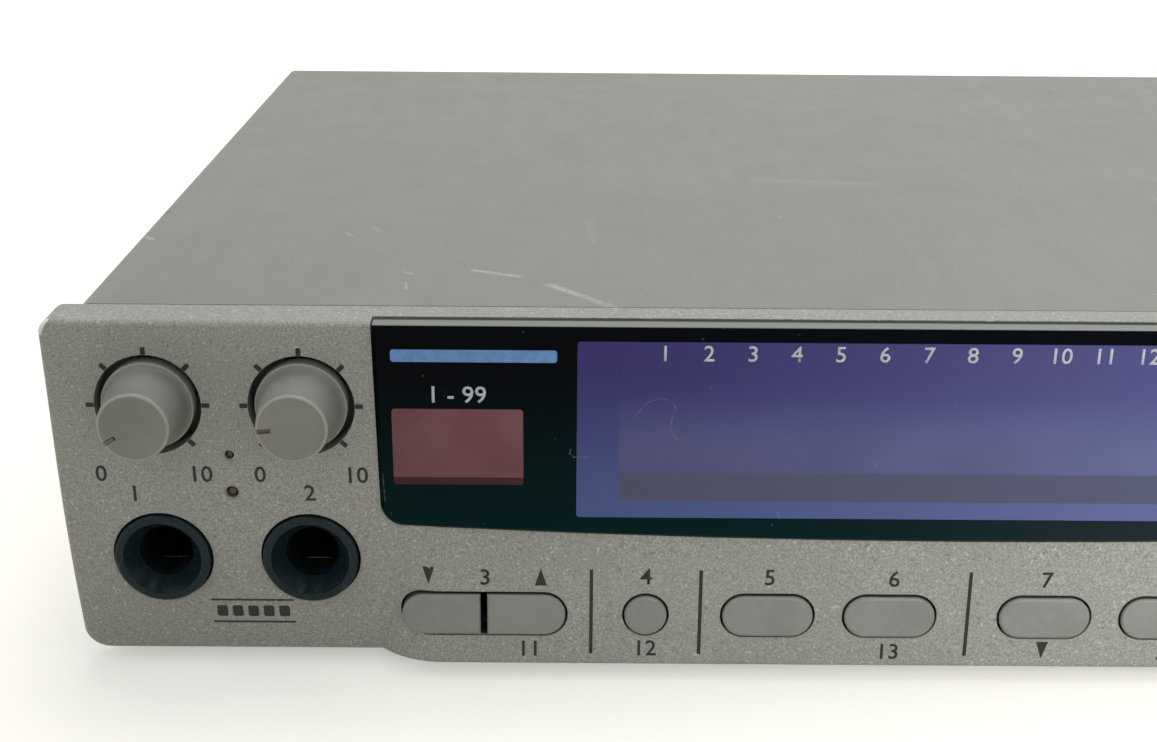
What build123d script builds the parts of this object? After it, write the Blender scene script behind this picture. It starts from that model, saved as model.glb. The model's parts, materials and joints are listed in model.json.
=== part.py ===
"""Half-rack effects unit: moulded fascia, steel tray and cover, boards, sockets and controls.

Lengths are millimetres. While modelling, X runs to the right seen from the front, Y runs back
from the flat upper face of the fascia, and Z runs up from the fascia's lower edge. Saved pieces
are moved so that the origin lies on the table under the middle of the whole unit.
"""
from build123d import *
from math import cos, radians, sin, sqrt
import os

# Fascia: one moulding with a leaning button strip and ends that curve back towards the bottom
FASCIA_W = 218.0
FASCIA_H = 44.0
FASCIA_DEPTH = 6.0
FASCIA_WALL = 2.5
RIM_WALL = 2.2
END_SLANT = 0.75
TOP_CORNER_R = 1.6
LOW_CORNER_R = 3.0
FRONT_EDGE_R = 0.7
EDGE_GAP = 0.3
STRIP_OUT = 1.0
STRIP_TOP_Z = 18.5
STRIP_END = 45.3
END_RAKE = 2.45
END_CURVE_DROP = 16.0
BLEND_R = 11.0
BLEND_ANGLE = 66.0
HALF_W = FASCIA_W / 2
STRIP_HALF_W = HALF_W - STRIP_END
END_CURVE_Z = FASCIA_H - END_CURVE_DROP

# Display lens, its two coloured panes and the tape that holds it
LENS_END = 38.2
LENS_SIDE_LEAN = 0.4
LENS_LOW_Z = 17.1
LENS_ARC_R = 1400.0
LENS_CORNER_R = 2.6
LENS_PROUD = 0.8
LENS_T = 2.9
LENS_BEVEL = 0.35
LENS_GAP = 0.25
TAPE_T = 0.3
TAPE_EDGE = 1.2
SEAT_WALL = 1.8
SEAT_JOIN = 0.2
SEAT_LEDGE = 0.4
PANE_T = 2.0
PANE_FIT = 0.05
PANE_CORNER_R = 0.4
PATCH_IN = 9.1
PATCH_RISE = 11.95
PATCH_W = 15.3
PATCH_H = 9.7
LCD_IN = 22.85
LCD_TOP_EDGE = 1.7
LCD_LOW_EDGE = 3.0
LENS_HALF_TOP = HALF_W - LENS_END
LENS_HALF_LOW = LENS_HALF_TOP - LENS_SIDE_LEAN
LCD_W = 2 * (LENS_HALF_LOW - LCD_IN)
LCD_H = FASCIA_H - LCD_TOP_EDGE - LENS_LOW_Z - LCD_LOW_EDGE
PATCH_PANE = (PATCH_IN - LENS_HALF_LOW, LENS_LOW_Z + PATCH_RISE, PATCH_W, PATCH_H)
LCD_PANE = (0.0, LENS_LOW_Z + LCD_LOW_EDGE + LCD_H / 2, LCD_W, LCD_H)

# Controls on the left end
KNOB_IN = (11.85, 29.6)
KNOB_DROP = 10.25
KNOB_OUT = 6.85
KNOB_FACE_R = 4.05
KNOB_WAIST_R = 4.75
KNOB_RIM_R = 5.33
KNOB_RIM_OUT = 0.22
KNOB_FLARE = 1.1
KNOB_EDGE_R = 0.45
KNOB_BACK = 1.6
KNOB_SKIRT = 1.0
KNOB_SKIRT_END = -0.4
KNOB_HOLE_R = 6.2
KNOB_REST = (120.0, 95.0)
POINTER_W = 0.55
POINTER_L = 1.7
POINTER_DEEP = 0.35
SHAFT_R = 3.0
SHAFT_FLAT = 1.5
SHAFT_FIT = 0.04
SHAFT_TIP = 1.6
POT_SIZE = (11.0, 11.5, 6.4)
POT_EDGE = 0.8
POT_BUSH_R = 4.3
POT_BUSH_L = 2.4
POT_FLOOR = 1.2
RUN_GAP = 0.3
KNOB_X = tuple(near - HALF_W for near in KNOB_IN)
KNOB_Z = FASCIA_H - KNOB_DROP

# Sockets for 6.35 mm plugs, at the front and at the back
PLUG_R = 3.25
PLUG_DEPTH = 29.0
FRONT_JACK_Z = 13.8
BUSH_R = 5.75
BUSH_HOLE_GAP = 0.25
BUSH_FRONT_Y = -0.1
MOUTH_R = 4.7
MOUTH_DEPTH = 2.2
MOUTH_FLARE = 0.35
LIP_R = 0.45
JACK_BODY = (15.6, 13.2, 22.5)
JACK_EDGE = 1.0
REAR_BUSH_R = 5.4
REAR_BUSH_OUT = 4.2
REAR_BUSH_EDGE = 0.4
NUT_R = 7.2
NUT_ROUND = 0.97
NUT_T = 2.4
CONTACT_W = 1.6
CONTACT_T = 0.4
CONTACT_BACK = 0.1
CONTACT_START = 9.0
CONTACT_END = 25.0

# Signal lamps between the knobs, and the pilot lamp above the power button
LAMP_IN = 20.8
LAMP_DROP = (16.6, 21.4)
LAMP_R = (0.45, 0.62)
LAMP_GAP = 0.12
LAMP_SUNK = 0.5
LAMP_BEVEL = 0.28
LAMP_DOME = 0.6
LAMP_FLANGE = 0.6
PILOT_DROP = 19.4
PILOT_R = 1.1
LAMP_X = LAMP_IN - HALF_W
LAMP_Z = tuple(FASCIA_H - drop for drop in LAMP_DROP)
PILOT_Z = FASCIA_H - PILOT_DROP

# Push buttons on the strip, a pitch apart from the middle to the divided pair at each end
BUTTON_Z = 6.95
OVAL_H = 5.87
OVAL_SPACE = 3.25
ROUND_D = 5.7
MIDDLE_MORE = 2.0
PAIR_STEP = 4.8
PAIR_IN = 5.1
PAIR_MORE = 5.55
PAIR_SPLIT = 0.8
BUTTON_GAP = 0.28
BUTTON_PROUD = 0.45
BUTTON_EDGE_R = 0.4
BUTTON_TRAVEL = 0.5
COLLAR_W = 0.8
COLLAR_T = 1.0
COLLAR_GAP = 0.2
STEM_R = 1.5
STEM_GAP = 0.1
SWITCH_SIZE = 6.0
SWITCH_T = 3.4
SWITCH_EDGE = 0.5
DOME_R = 1.7
DOME_T = 0.8
DOME_EDGE = 0.3
BUTTON_PITCH = (STRIP_HALF_W - MIDDLE_MORE - PAIR_STEP - PAIR_IN) / 3.5
OVAL_W = BUTTON_PITCH - OVAL_SPACE
OVAL_X = (MIDDLE_MORE + 1.5 * BUTTON_PITCH, MIDDLE_MORE + 0.5 * BUTTON_PITCH)
ROUND_X = MIDDLE_MORE + 2.5 * BUTTON_PITCH
PAIR_X = STRIP_HALF_W - PAIR_IN
PAIR_W = BUTTON_PITCH + PAIR_MORE

# Power button and its switch on the right end
POWER_X = -LAMP_X
POWER_Z = 13.8
POWER_W = 10.4
POWER_H = 7.4
POWER_CORNER_R = 1.6
POWER_OUT = 2.4
POWER_TRAVEL = 1.8
POWER_BODY = (9.0, 9.0, 16.0)
POWER_EDGE = 0.8
POWER_BODY_Y = 12.0
POWER_CAP_BACK = 4.0
POWER_GRIP = 2.5
POWER_STEM_R = 2.0

# Steel tray and cover
UNIT_DEPTH = 152.0
COVER_INSET = 2.8
SHEET = 1.0
BEND_R = 1.6
JOINT_GAP = 0.2
TRAY_Z = 1.0
COVER_OVERHANG = 1.0
TRAY_LIP = 10.0
LIP_START = 40.0
COVER_SKIRT_GAP = 0.6
WALL_DROP = 1.4
WALL_GAP = 0.725
WALL_SLOT_LOW = 0.9
WALL_LAMP_GAP = 1.2
WALL_STEM_GAP = 0.7
WALL_FIT = 0.15
VENT_COUNT = 9
VENT_PITCH = 5.0
VENT_L = 22.0
VENT_W = 1.8
VENT_X = 50.0
VENT_Y = 78.0
FRONT_WALL_TOP = FASCIA_H - WALL_DROP
WALL_SLOT_X = PAIR_X + PAIR_W / 2 + WALL_GAP
WALL_SLOT_Z = BUTTON_Z + OVAL_H / 2 + COLLAR_W + WALL_GAP
COVER_X = HALF_W - COVER_INSET
COVER_FRONT = FASCIA_DEPTH + JOINT_GAP
TRAY_X = COVER_X - SHEET - JOINT_GAP
TRAY_FLOOR = TRAY_Z + SHEET
TRAY_BACK = UNIT_DEPTH - COVER_OVERHANG
TRAY_TOP = FASCIA_H - SHEET - JOINT_GAP
BACK_INNER = TRAY_BACK - SHEET
WALL_BACK = COVER_FRONT + SHEET

# Feet, screws, nuts and spacers
SCREW_HEAD_T = 1.5
FOOT_R = 6.5
FOOT_H = 3.0
FOOT_STEP = 1.0
FOOT_TAPER = 0.6
FOOT_EDGE_R = 0.8
FOOT_IN = 21.0
FOOT_INSET = 18.0
FOOT_HEAD_SUNK = 0.3
FOOT_WELL = SCREW_HEAD_T + FOOT_HEAD_SUNK
SCREW_R = 1.45
SCREW_HEAD_R = 2.3
SCREW_EDGE_R = 0.5
SCREW_FIT = 0.03
DRIVE_W = 0.7
DRIVE_L = 2.6
DRIVE_DEEP = 0.8
CASE_SCREW_L = 5.0
INNER_SCREW_L = 4.0
FOOT_SCREW_END = 1.0
SIDE_SCREW_Z = 6.6
SIDE_SCREW_FRONT = 60.0
SIDE_SCREW_BACK = 16.0
RACK_HOLE_Y = (44.0, 76.0)
RACK_HOLE_Z = 22.0
RACK_BORE_R = 1.65
RACK_HOLE_GAP = 0.3
RACK_NUT_R = 3.6
RACK_NUT_T = 3.0
BOSS_R = 2.3
BOSS_SKIN = 0.5
BOSS_IN = 20.7
BOSS_DROP = 5.4
BOSS_STEP = 2.4
BOSS_LOW_Z = 4.9
SPACER_R = 2.4
SPACER_DROP = 11.1
SPACER_STEP = 3.4
SPACER_LOW_Z = 14.3
PILLAR_R = 2.8
SIDE_SCREW_Y = (SIDE_SCREW_FRONT, UNIT_DEPTH - SIDE_SCREW_BACK)
BOSS_AT = tuple((side * x, z) for x, z in ((HALF_W - BOSS_IN, FASCIA_H - BOSS_DROP),
                                           (WALL_SLOT_X + BOSS_STEP, BOSS_LOW_Z)) for side in (-1, 1))
SPACER_AT = tuple((side * x, z) for x, z in ((HALF_W - BOSS_IN, FASCIA_H - SPACER_DROP),
                                             (PAIR_X + SPACER_STEP, SPACER_LOW_Z)) for side in (-1, 1))
FOOT_Y = (COVER_FRONT + FOOT_INSET, TRAY_BACK - FOOT_INSET)
FEET = tuple((side * (HALF_W - FOOT_IN), y) for side in (-1, 1) for y in FOOT_Y)

# Boards
BOARD_T = 1.6
FRONT_BOARD_Y = 14.0
FRONT_BOARD_IN = 8.0
FRONT_BOARD_DROP = 2.6
FRONT_BOARD_LOW = 3.4
BOARD_NOTCH_STEP = 0.5
BOARD_NOTCH_GAP = 2.0
MAIN_BOARD_Z = 8.0
MAIN_BOARD_SIDE = 2.2
MAIN_BOARD_FRONT = 40.0
MAIN_BOARD_BACK = 3.0
PILLAR_IN = 8.0
PILLAR_FRONT = 6.0
PILLAR_BACK = 35.0
PILLAR_MIDDLE_Y = 80.0
JACK_BOARD_OUT = (5.85, 7.9)
JACK_BOARD_Y = (10.0, 37.0)
SIDE_PILLAR_IN = (2.6, 3.0)
FRONT_BOARD_HALF_W = HALF_W - FRONT_BOARD_IN
FRONT_BOARD_TOP = FASCIA_H - FRONT_BOARD_DROP
BOARD_NOTCH_X = WALL_SLOT_X + BOARD_NOTCH_STEP
BOARD_NOTCH_Z = FRONT_JACK_Z + JACK_BODY[1] / 2 + BOARD_NOTCH_GAP
MAIN_BOARD_HALF_W = COVER_X - CASE_SCREW_L - MAIN_BOARD_SIDE
MAIN_BOARD_Y = (MAIN_BOARD_FRONT, BACK_INNER - MAIN_BOARD_BACK)
MAIN_TOP = MAIN_BOARD_Z + BOARD_T
JACK_BOARD_X = (KNOB_X[0] - JACK_BOARD_OUT[0], KNOB_X[1] + JACK_BOARD_OUT[1])
JACK_BOARD_TOP = FRONT_JACK_Z - JACK_BODY[1] / 2
POWER_BOARD_TOP = POWER_Z - POWER_BODY[1] / 2
MAIN_PILLAR_X = MAIN_BOARD_HALF_W - PILLAR_IN
MAIN_PILLAR_Y = (MAIN_BOARD_Y[0] + PILLAR_FRONT, MAIN_BOARD_Y[1] - PILLAR_BACK)
SIDE_PILLAR_X = -JACK_BOARD_X[0] - SIDE_PILLAR_IN[0]
SIDE_PILLAR_Y = JACK_BOARD_Y[1] - SIDE_PILLAR_IN[1]
PILLARS = tuple((side * MAIN_PILLAR_X, y, MAIN_TOP) for side in (-1, 1) for y in MAIN_PILLAR_Y) + (
    (0.0, PILLAR_MIDDLE_Y, MAIN_TOP), (-SIDE_PILLAR_X, SIDE_PILLAR_Y, JACK_BOARD_TOP),
    (SIDE_PILLAR_X, SIDE_PILLAR_Y, POWER_BOARD_TOP))

# What stands on the boards
PIN_PITCH = 2.54
PIN_T = 0.5
PIN_OUT = 1.2
PIN_H = 0.8
MODULE_GAP = 0.3
LED_MORE = (0.6, 0.9)
LED_T = 6.0
LED_WELL_EDGE = (1.4, 1.6)
LED_WELL_R = 0.5
LED_WELL_DEEP = 0.4
LED_ROW = 3.8
LCD_T = 5.6
LCD_FRAME_LESS = (3.1, 0.6)
LCD_FRAME_R = 0.8
LCD_GLASS_LESS = (9.9, 7.6)
LCD_GLASS_T = 1.1
LCD_GLASS_SUNK = 0.3
LCD_BOARD_MORE = (2.9, 1.2)
LCD_BOARD_DROP = 2.8
CHIP_T = 2.4
CHIP_FOOT = 0.3
CHIP_EDGE = 0.4
CHIPS = ((-20.0, 92.0, 24.0, 24.0), (-58.0, 92.0, 18.0, 18.0), (20.0, 92.0, 14.0, 20.0),
         (44.0, 92.0, 10.0, 16.0), (-58.0, 62.0, 12.0, 18.0))
CAPACITORS = ((66.0, 62.0, 5.0, 12.5), (66.0, 76.0, 5.0, 12.5), (52.0, 62.0, 4.0, 11.0),
              (-82.0, 78.0, 3.2, 8.0), (-82.0, 90.0, 3.2, 8.0), (-82.0, 102.0, 3.2, 8.0),
              (40.0, 62.0, 3.2, 8.0))
CAN_EDGE_R = 0.5
CAN_BEAD = (1.4, 2.0)
CAN_BEAD_DEEP = 0.3
SINK_AT = (-28.0, 62.0)
SINK_SIZE = (24.0, 14.0, 20.0)
SINK_WALL = 1.6
SINK_FINS = 5
REG_SIZE = (10.2, 4.4, 9.2)
REG_RISE = 4.0
REG_TAB_T = 1.2
REG_TAB_MORE = 6.0
REG_EYE_R = 1.8
REG_LEG = (0.8, 0.6)
REG_LEG_Y = 2.6
CELL_AT = (18.0, 62.0)
CELL_R = 10.0
CELL_T = 3.2
CELL_EDGE = 0.3
CELL_WALL = 1.4
CELL_FLOOR = 1.2
RIBBON_W = 26.0
RIBBON_T = 0.9
RIBBON_X = 0.0
RIBBON_Y = 47.0
RIBBON_BEND = 6.0
PLUG_BLOCK = (30.0, 6.0, 5.6)
FRONT_PLUG_Z = 30.0

# Sockets along the back: places are shares of the run between the first socket and the cord hook
REAR_IN = 19.0
REAR_JACK_SHARES = {"left_input_jack": 1.0, "right_input_jack": 0.79,
                    "left_output_jack": 0.38, "right_output_jack": 0.17, "pedal_jack": -0.065}
LEVEL_SHARE = 0.585
MIDI_SHARES = {"midi_out_socket": -0.31, "midi_in_socket": -0.555}
DC_SHARE = -0.79
LEVEL_BODY = (12.0, 6.4, 7.0)
LEVEL_SLOT = (7.0, 3.4)
LEVEL_KNOB = (2.6, 2.6)
LEVEL_OUT = 1.6
LEVEL_ROOT = 1.5
LEVEL_TRAVEL = 3.0
LEVEL_RIB = (0.3, 0.3)
MIDI_BODY = (18.0, 18.5, 14.0)
MIDI_R = 8.2
MIDI_WELL_R = 6.9
MIDI_CORE_R = 5.7
MIDI_WELL_DEPTH = 8.5
MIDI_RING_R = 3.75
MIDI_PIN_R = 0.75
MIDI_KEY_W = 2.4
DC_BODY = (9.4, 11.4, 14.0)
DC_R = 4.2
DC_BORE_R = 2.8
DC_BORE_DEPTH = 9.5
DC_PIN_R = 1.0
DC_PIN_SUNK = 1.0
HOOK_Z = 15.5
HOOK_W = 6.0
HOOK_T = 1.6
HOOK_H = 15.0
HOOK_OUT = 8.0
REAR_RUN = HALF_W - REAR_IN
REAR_JACK_X = {name: share * REAR_RUN for name, share in REAR_JACK_SHARES.items()}
MIDI_X = {name: share * REAR_RUN for name, share in MIDI_SHARES.items()}
LEVEL_X = LEVEL_SHARE * REAR_RUN
DC_X = DC_SHARE * REAR_RUN
HOOK_X = -REAR_RUN
REAR_JACK_Z = MAIN_TOP + JACK_BODY[1] / 2
MIDI_Z = MAIN_TOP + MIDI_BODY[1] / 2
DC_Z = MAIN_TOP + DC_BODY[1] / 2
LEVEL_Z = MAIN_TOP + LEVEL_BODY[1] / 2

# Places that follow from the sizes above
SLOPE = STRIP_OUT / STRIP_TOP_Z
LENS_BACK = LENS_T - LENS_PROUD
SEAT_Y = LENS_BACK + TAPE_T
SEAT_BACK = SEAT_Y + SEAT_WALL
MODULE_Y = SEAT_BACK + MODULE_GAP
SWITCH_FACE = FRONT_BOARD_Y - SWITCH_T
DOME_TIP = SWITCH_FACE - DOME_T
STEM_END = DOME_TIP - BUTTON_TRAVEL - STEM_GAP
COLLAR_Y = FASCIA_WALL + COLLAR_GAP - SLOPE * (STRIP_TOP_Z - BUTTON_Z - OVAL_H / 2 - COLLAR_W)
FOOT_DROP = FOOT_H - TRAY_Z
MIDDLE_Y = (TRAY_BACK + HOOK_OUT - KNOB_OUT) / 2

# Push buttons: centre, width of the slot, and which half of a pair (0 for a whole one)
BUTTONS = {
    "patch_down_button": (-PAIR_X, PAIR_W, -1), "patch_up_button": (-PAIR_X, PAIR_W, 1),
    "store_button": (-ROUND_X, ROUND_D, 0), "exit_button": (-OVAL_X[0], OVAL_W, 0),
    "utility_button": (-OVAL_X[1], OVAL_W, 0), "page_down_button": (OVAL_X[1], OVAL_W, 0),
    "page_up_button": (OVAL_X[0], OVAL_W, 0), "bypass_button": (ROUND_X, ROUND_D, 0),
    "value_down_button": (PAIR_X, PAIR_W, -1), "value_up_button": (PAIR_X, PAIR_W, 1)}

EXTRA = 5.0                    # how far cutting tools run past what they cut
TOUCH = 0.01                   # how near an edge counts as being at a place


def along_x(sketch, x0, x1):
    """Extrude a (y, z) sketch from x0 to x1."""
    return extrude(Plane.YZ.offset(x0) * sketch, amount=x1 - x0)


def along_y(sketch, y0, y1):
    """Extrude an (x, z) sketch from y0 back to y1."""
    return extrude(Plane.XZ.offset(-y1) * sketch, amount=y1 - y0)


def along_z(sketch, z0, z1):
    """Extrude an (x, y) sketch from z0 up to z1."""
    return extrude(Plane.XY.offset(z0) * sketch, amount=z1 - z0)


def block(x, y, z):
    """A box between pairs of x, y and z limits."""
    size = Box(x[1] - x[0], y[1] - y[0], z[1] - z[0])
    return Pos(sum(x) / 2, sum(y) / 2, sum(z) / 2) * size


def disc(x, z, radius, y0, y1):
    """A round bar along Y."""
    return along_y(Pos(x, z) * Circle(radius), y0, y1)


def both_sides(shape):
    return shape + mirror(shape, about=Plane.YZ)


def group(shapes):
    """Loose solids that are saved as one named piece."""
    return Compound([solid for shape in shapes for solid in shape.solids()])


def strip_y(z):
    """Depth of the leaning strip's surface at a height."""
    return min(0.0, -(STRIP_TOP_Z - z) * SLOPE)


def end_y(z):
    """Depth of the curved ends' surface at a height."""
    radius = (END_CURVE_Z ** 2 + END_RAKE ** 2) / (2 * END_RAKE)
    return radius - sqrt(radius ** 2 - max(0.0, END_CURVE_Z - z) ** 2)


# ---------------------------------------------------------------- fascia

def front_outline(inset=0.0):
    """Front view of the fascia: sides lean in, lower corners are rounder than upper ones."""
    low = HALF_W - END_SLANT
    corners = Polyline((-low, 0), (low, 0), (HALF_W, FASCIA_H), (-HALF_W, FASCIA_H), close=True)
    face = make_face(corners)
    face = fillet(face.vertices().group_by(Axis.Y)[0], LOW_CORNER_R)
    face = fillet(face.vertices().group_by(Axis.Y)[-1], TOP_CORNER_R)
    return offset(face, -inset) if inset else face


def end_tool():
    """What the curved left end takes off the plain front, up to its blend with the strip."""
    rake = Line((END_RAKE, 0), (END_RAKE, -EXTRA))
    sweep = TangentArc((0, END_CURVE_Z), (END_RAKE, 0), tangent=(0, -1))
    front = Polyline((END_RAKE, -EXTRA), (-EXTRA, -EXTRA), (-EXTRA, END_CURVE_Z), (0, END_CURVE_Z))
    ahead = along_x(make_face([sweep, rake, front]), -HALF_W - EXTRA, -STRIP_HALF_W)
    turn = radians(BLEND_ANGLE)
    start = (-STRIP_HALF_W, -STRIP_OUT)
    end = (start[0] - BLEND_R * sin(turn), start[1] + BLEND_R * (1 - cos(turn)))
    blend = TangentArc(start, end, tangent=(-1, 0))
    far = -HALF_W - EXTRA
    rest = Polyline(end, (far, end[1]), (far, -2 * EXTRA), (start[0], -2 * EXTRA), start)
    wall = extrude(make_face([blend, rest]), END_CURVE_Z * sqrt(1 + SLOPE ** 2), dir=(0, SLOPE, 1))
    return ahead & wall


def fascia_form(depth, inset=0.0):
    """Solid with the fascia's sculpted front, running back to a depth."""
    side = Polyline((-STRIP_OUT, 0), (0, STRIP_TOP_Z), (0, FASCIA_H), (depth, FASCIA_H),
                    (depth, 0), close=True)
    form = along_x(make_face(side), -HALF_W, HALF_W)
    form -= both_sides(end_tool())
    return form & along_y(front_outline(inset), -EXTRA, depth)


def lens_outline(grow=0.0):
    """Front view of the lens, run on past the top: its lower edge is a shallow arc."""
    low, high = LENS_HALF_LOW + grow, LENS_HALF_TOP + grow
    radius = LENS_ARC_R + grow
    centre_z = LENS_LOW_Z - grow + radius
    side_z = centre_z - sqrt(radius ** 2 - low ** 2)
    arc = ThreePointArc((-low, side_z), (0, LENS_LOW_Z - grow), (low, side_z))
    top = FASCIA_H + EXTRA
    rest = Polyline((low, side_z), (high, FASCIA_H), (high, top), (-high, top),
                    (-high, FASCIA_H), (-low, side_z))
    face = make_face([arc, rest])
    return fillet(face.vertices().group_by(Axis.Y)[0], LENS_CORNER_R + grow)


def pane_outline(pane, grow=0.0):
    x, z, width, height = pane
    return Pos(x, z) * RectangleRounded(width + 2 * grow, height + 2 * grow, PANE_CORNER_R)


def slot(x, z, width, height):
    """A round-ended slot, or a circle when it is as high as it is wide."""
    shape = Circle(height / 2) if width - height < TOUCH else SlotOverall(width, height)
    return Pos(x, z) * shape


def button_outline(x, width, side, grow):
    """Outline of a button, grown or shrunk; side picks one half of a pair, 0 is a whole one."""
    height = min(width, OVAL_H)
    outline = slot(x, BUTTON_Z, width + 2 * grow, height + 2 * grow)
    if side == 0:
        return outline
    reach = width / 2 + EXTRA
    half = Pos(x + side * (PAIR_SPLIT + reach) / 2, BUTTON_Z) * Rectangle(reach, 2 * OVAL_H)
    return outline & half


def power_outline(grow=0.0):
    corner = POWER_CORNER_R + grow
    return Pos(POWER_X, POWER_Z) * RectangleRounded(POWER_W + 2 * grow, POWER_H + 2 * grow, corner)


def front_fascia():
    form = fascia_form(FASCIA_DEPTH)
    form = soften_front(form)
    hollow = Pos(0, FASCIA_WALL, 0) * fascia_form(FASCIA_DEPTH + EXTRA, RIM_WALL)
    shell = form - hollow
    seat = lens_outline(RIM_WALL) & front_outline(RIM_WALL)
    seat = along_y(seat, FASCIA_WALL - SEAT_JOIN, SEAT_BACK)
    posts = [disc(x, z, BOSS_R, end_y(z) + FASCIA_WALL / 2, COVER_FRONT) for x, z in BOSS_AT]
    shell = shell + (seat & form) + posts
    shell -= along_y(lens_outline(LENS_GAP), -EXTRA, SEAT_Y)
    for pane in (PATCH_PANE, LCD_PANE):
        shell -= along_y(pane_outline(pane, -SEAT_LEDGE), -EXTRA, SEAT_BACK + EXTRA)
    for x, width in {(spot[0], spot[1]) for spot in BUTTONS.values()}:
        shell -= along_y(button_outline(x, width, 0, 0.0), -EXTRA, FASCIA_DEPTH)
    for x in KNOB_X:
        shell -= disc(x, KNOB_Z, KNOB_HOLE_R, -EXTRA, FASCIA_DEPTH)
        shell -= disc(x, FRONT_JACK_Z, BUSH_R + BUSH_HOLE_GAP, -EXTRA, FASCIA_DEPTH)
    for z, radius in zip(LAMP_Z, LAMP_R):
        shell -= disc(LAMP_X, z, radius + LAMP_GAP, -EXTRA, FASCIA_DEPTH)
        shell -= lamp_bevel(z, radius + LAMP_GAP)
    shell -= disc(-LAMP_X, PILOT_Z, PILOT_R + LAMP_GAP, -EXTRA, FASCIA_DEPTH)
    shell -= along_y(power_outline(BUTTON_GAP), -EXTRA, FASCIA_DEPTH)
    for x, z in BOSS_AT:
        shell -= disc(x, z, SCREW_R + SCREW_FIT, FASCIA_WALL + BOSS_SKIN, COVER_FRONT + EXTRA)
    return shell


def lamp_bevel(z, radius):
    """Small countersink at the front of a signal lamp's hole."""
    flare = Plane.XZ * make_face(Polyline((0, EXTRA), (radius + LAMP_BEVEL + EXTRA, EXTRA),
                                          (radius, -LAMP_BEVEL), (0, -LAMP_BEVEL), close=True))
    return Pos(LAMP_X, 0, z) * Rot(90, 0, 0) * revolve(flare, Axis.Z)


def soften_front(form):
    """Round the front's outer rim."""
    rim = []
    for edge in form.edges():
        low, high = edge.bounding_box().min, edge.bounding_box().max
        middle = edge @ 0.5
        if high.Y > END_RAKE + EDGE_GAP:
            continue
        at_side = abs(middle.X) > HALF_W - LOW_CORNER_R - TOUCH
        at_top = low.Z > FASCIA_H - TOP_CORNER_R - TOUCH
        at_low = high.Z < LOW_CORNER_R + TOUCH
        if at_side or at_top or at_low:
            rim.append(edge)
    return fillet(rim, FRONT_EDGE_R)


# ---------------------------------------------------------------- lens and displays

def display_lens():
    outline = lens_outline() & Pos(0, FASCIA_H / 2) * Rectangle(FASCIA_W, FASCIA_H)
    lens = along_y(outline, -LENS_PROUD, LENS_BACK)
    front = lens.faces().sort_by(Axis.Y)[0]
    lens = chamfer(front.edges(), LENS_BEVEL)
    for pane in (PATCH_PANE, LCD_PANE):
        lens -= along_y(pane_outline(pane), -EXTRA, LENS_BACK + EXTRA)
    return lens


def pane(spot):
    """A coloured window that fills its opening, flush with the front of the lens."""
    return along_y(pane_outline(spot, -PANE_FIT), -LENS_PROUD, PANE_T - LENS_PROUD)


def lens_tape():
    """Frame of double-sided tape between the lens and its seat."""
    inner = Sketch() + [pane_outline(spot, TAPE_EDGE) for spot in (PATCH_PANE, LCD_PANE)]
    lens = lens_outline() & Pos(0, FASCIA_H / 2) * Rectangle(FASCIA_W, FASCIA_H - 2 * TAPE_EDGE)
    return along_y(lens - inner, LENS_BACK, SEAT_Y)


def led_display():
    """Two-digit module: a block with a shallow well for each digit and pins at the back."""
    x, z, width, height = PATCH_PANE
    width, height = width + LED_MORE[0], height + LED_MORE[1]
    back = MODULE_Y + LED_T
    body = block((x - width / 2, x + width / 2), (MODULE_Y, back), (z - height / 2, z + height / 2))
    well = RectangleRounded(width / 2 - LED_WELL_EDGE[0], height - LED_WELL_EDGE[1], LED_WELL_R)
    for side in (-1, 1):
        body -= along_y(Pos(x + side * width / 4, z) * well, MODULE_Y, MODULE_Y + LED_WELL_DEEP)
    pins = [along_y(Pos(x + i * PIN_PITCH, z + row) * Rectangle(PIN_T, PIN_T), back, FRONT_BOARD_Y)
            for i in range(-2, 3) for row in (-LED_ROW, LED_ROW)]
    return body + pins


def lcd_module():
    """Glass in a pressed frame on its own small board."""
    board_w, board_h = LCD_W + LCD_BOARD_MORE[0], LCD_H + LCD_BOARD_MORE[1]
    centre = Pos(LCD_PANE[0], FASCIA_H - LCD_BOARD_DROP - board_h / 2)
    back = MODULE_Y + LCD_T
    frame = RectangleRounded(LCD_W - LCD_FRAME_LESS[0], LCD_H - LCD_FRAME_LESS[1], LCD_FRAME_R)
    window = Rectangle(LCD_W - LCD_GLASS_LESS[0], LCD_H - LCD_GLASS_LESS[1])
    frame = along_y(centre * frame, MODULE_Y, back)
    frame -= along_y(centre * window, MODULE_Y - EXTRA, MODULE_Y + LCD_GLASS_T)
    glass = along_y(centre * window, MODULE_Y + LCD_GLASS_SUNK, MODULE_Y + LCD_GLASS_T)
    board = along_y(centre * Rectangle(board_w, board_h), back, back + BOARD_T)
    return group([frame + board, glass])


# ---------------------------------------------------------------- knobs and pots

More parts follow.
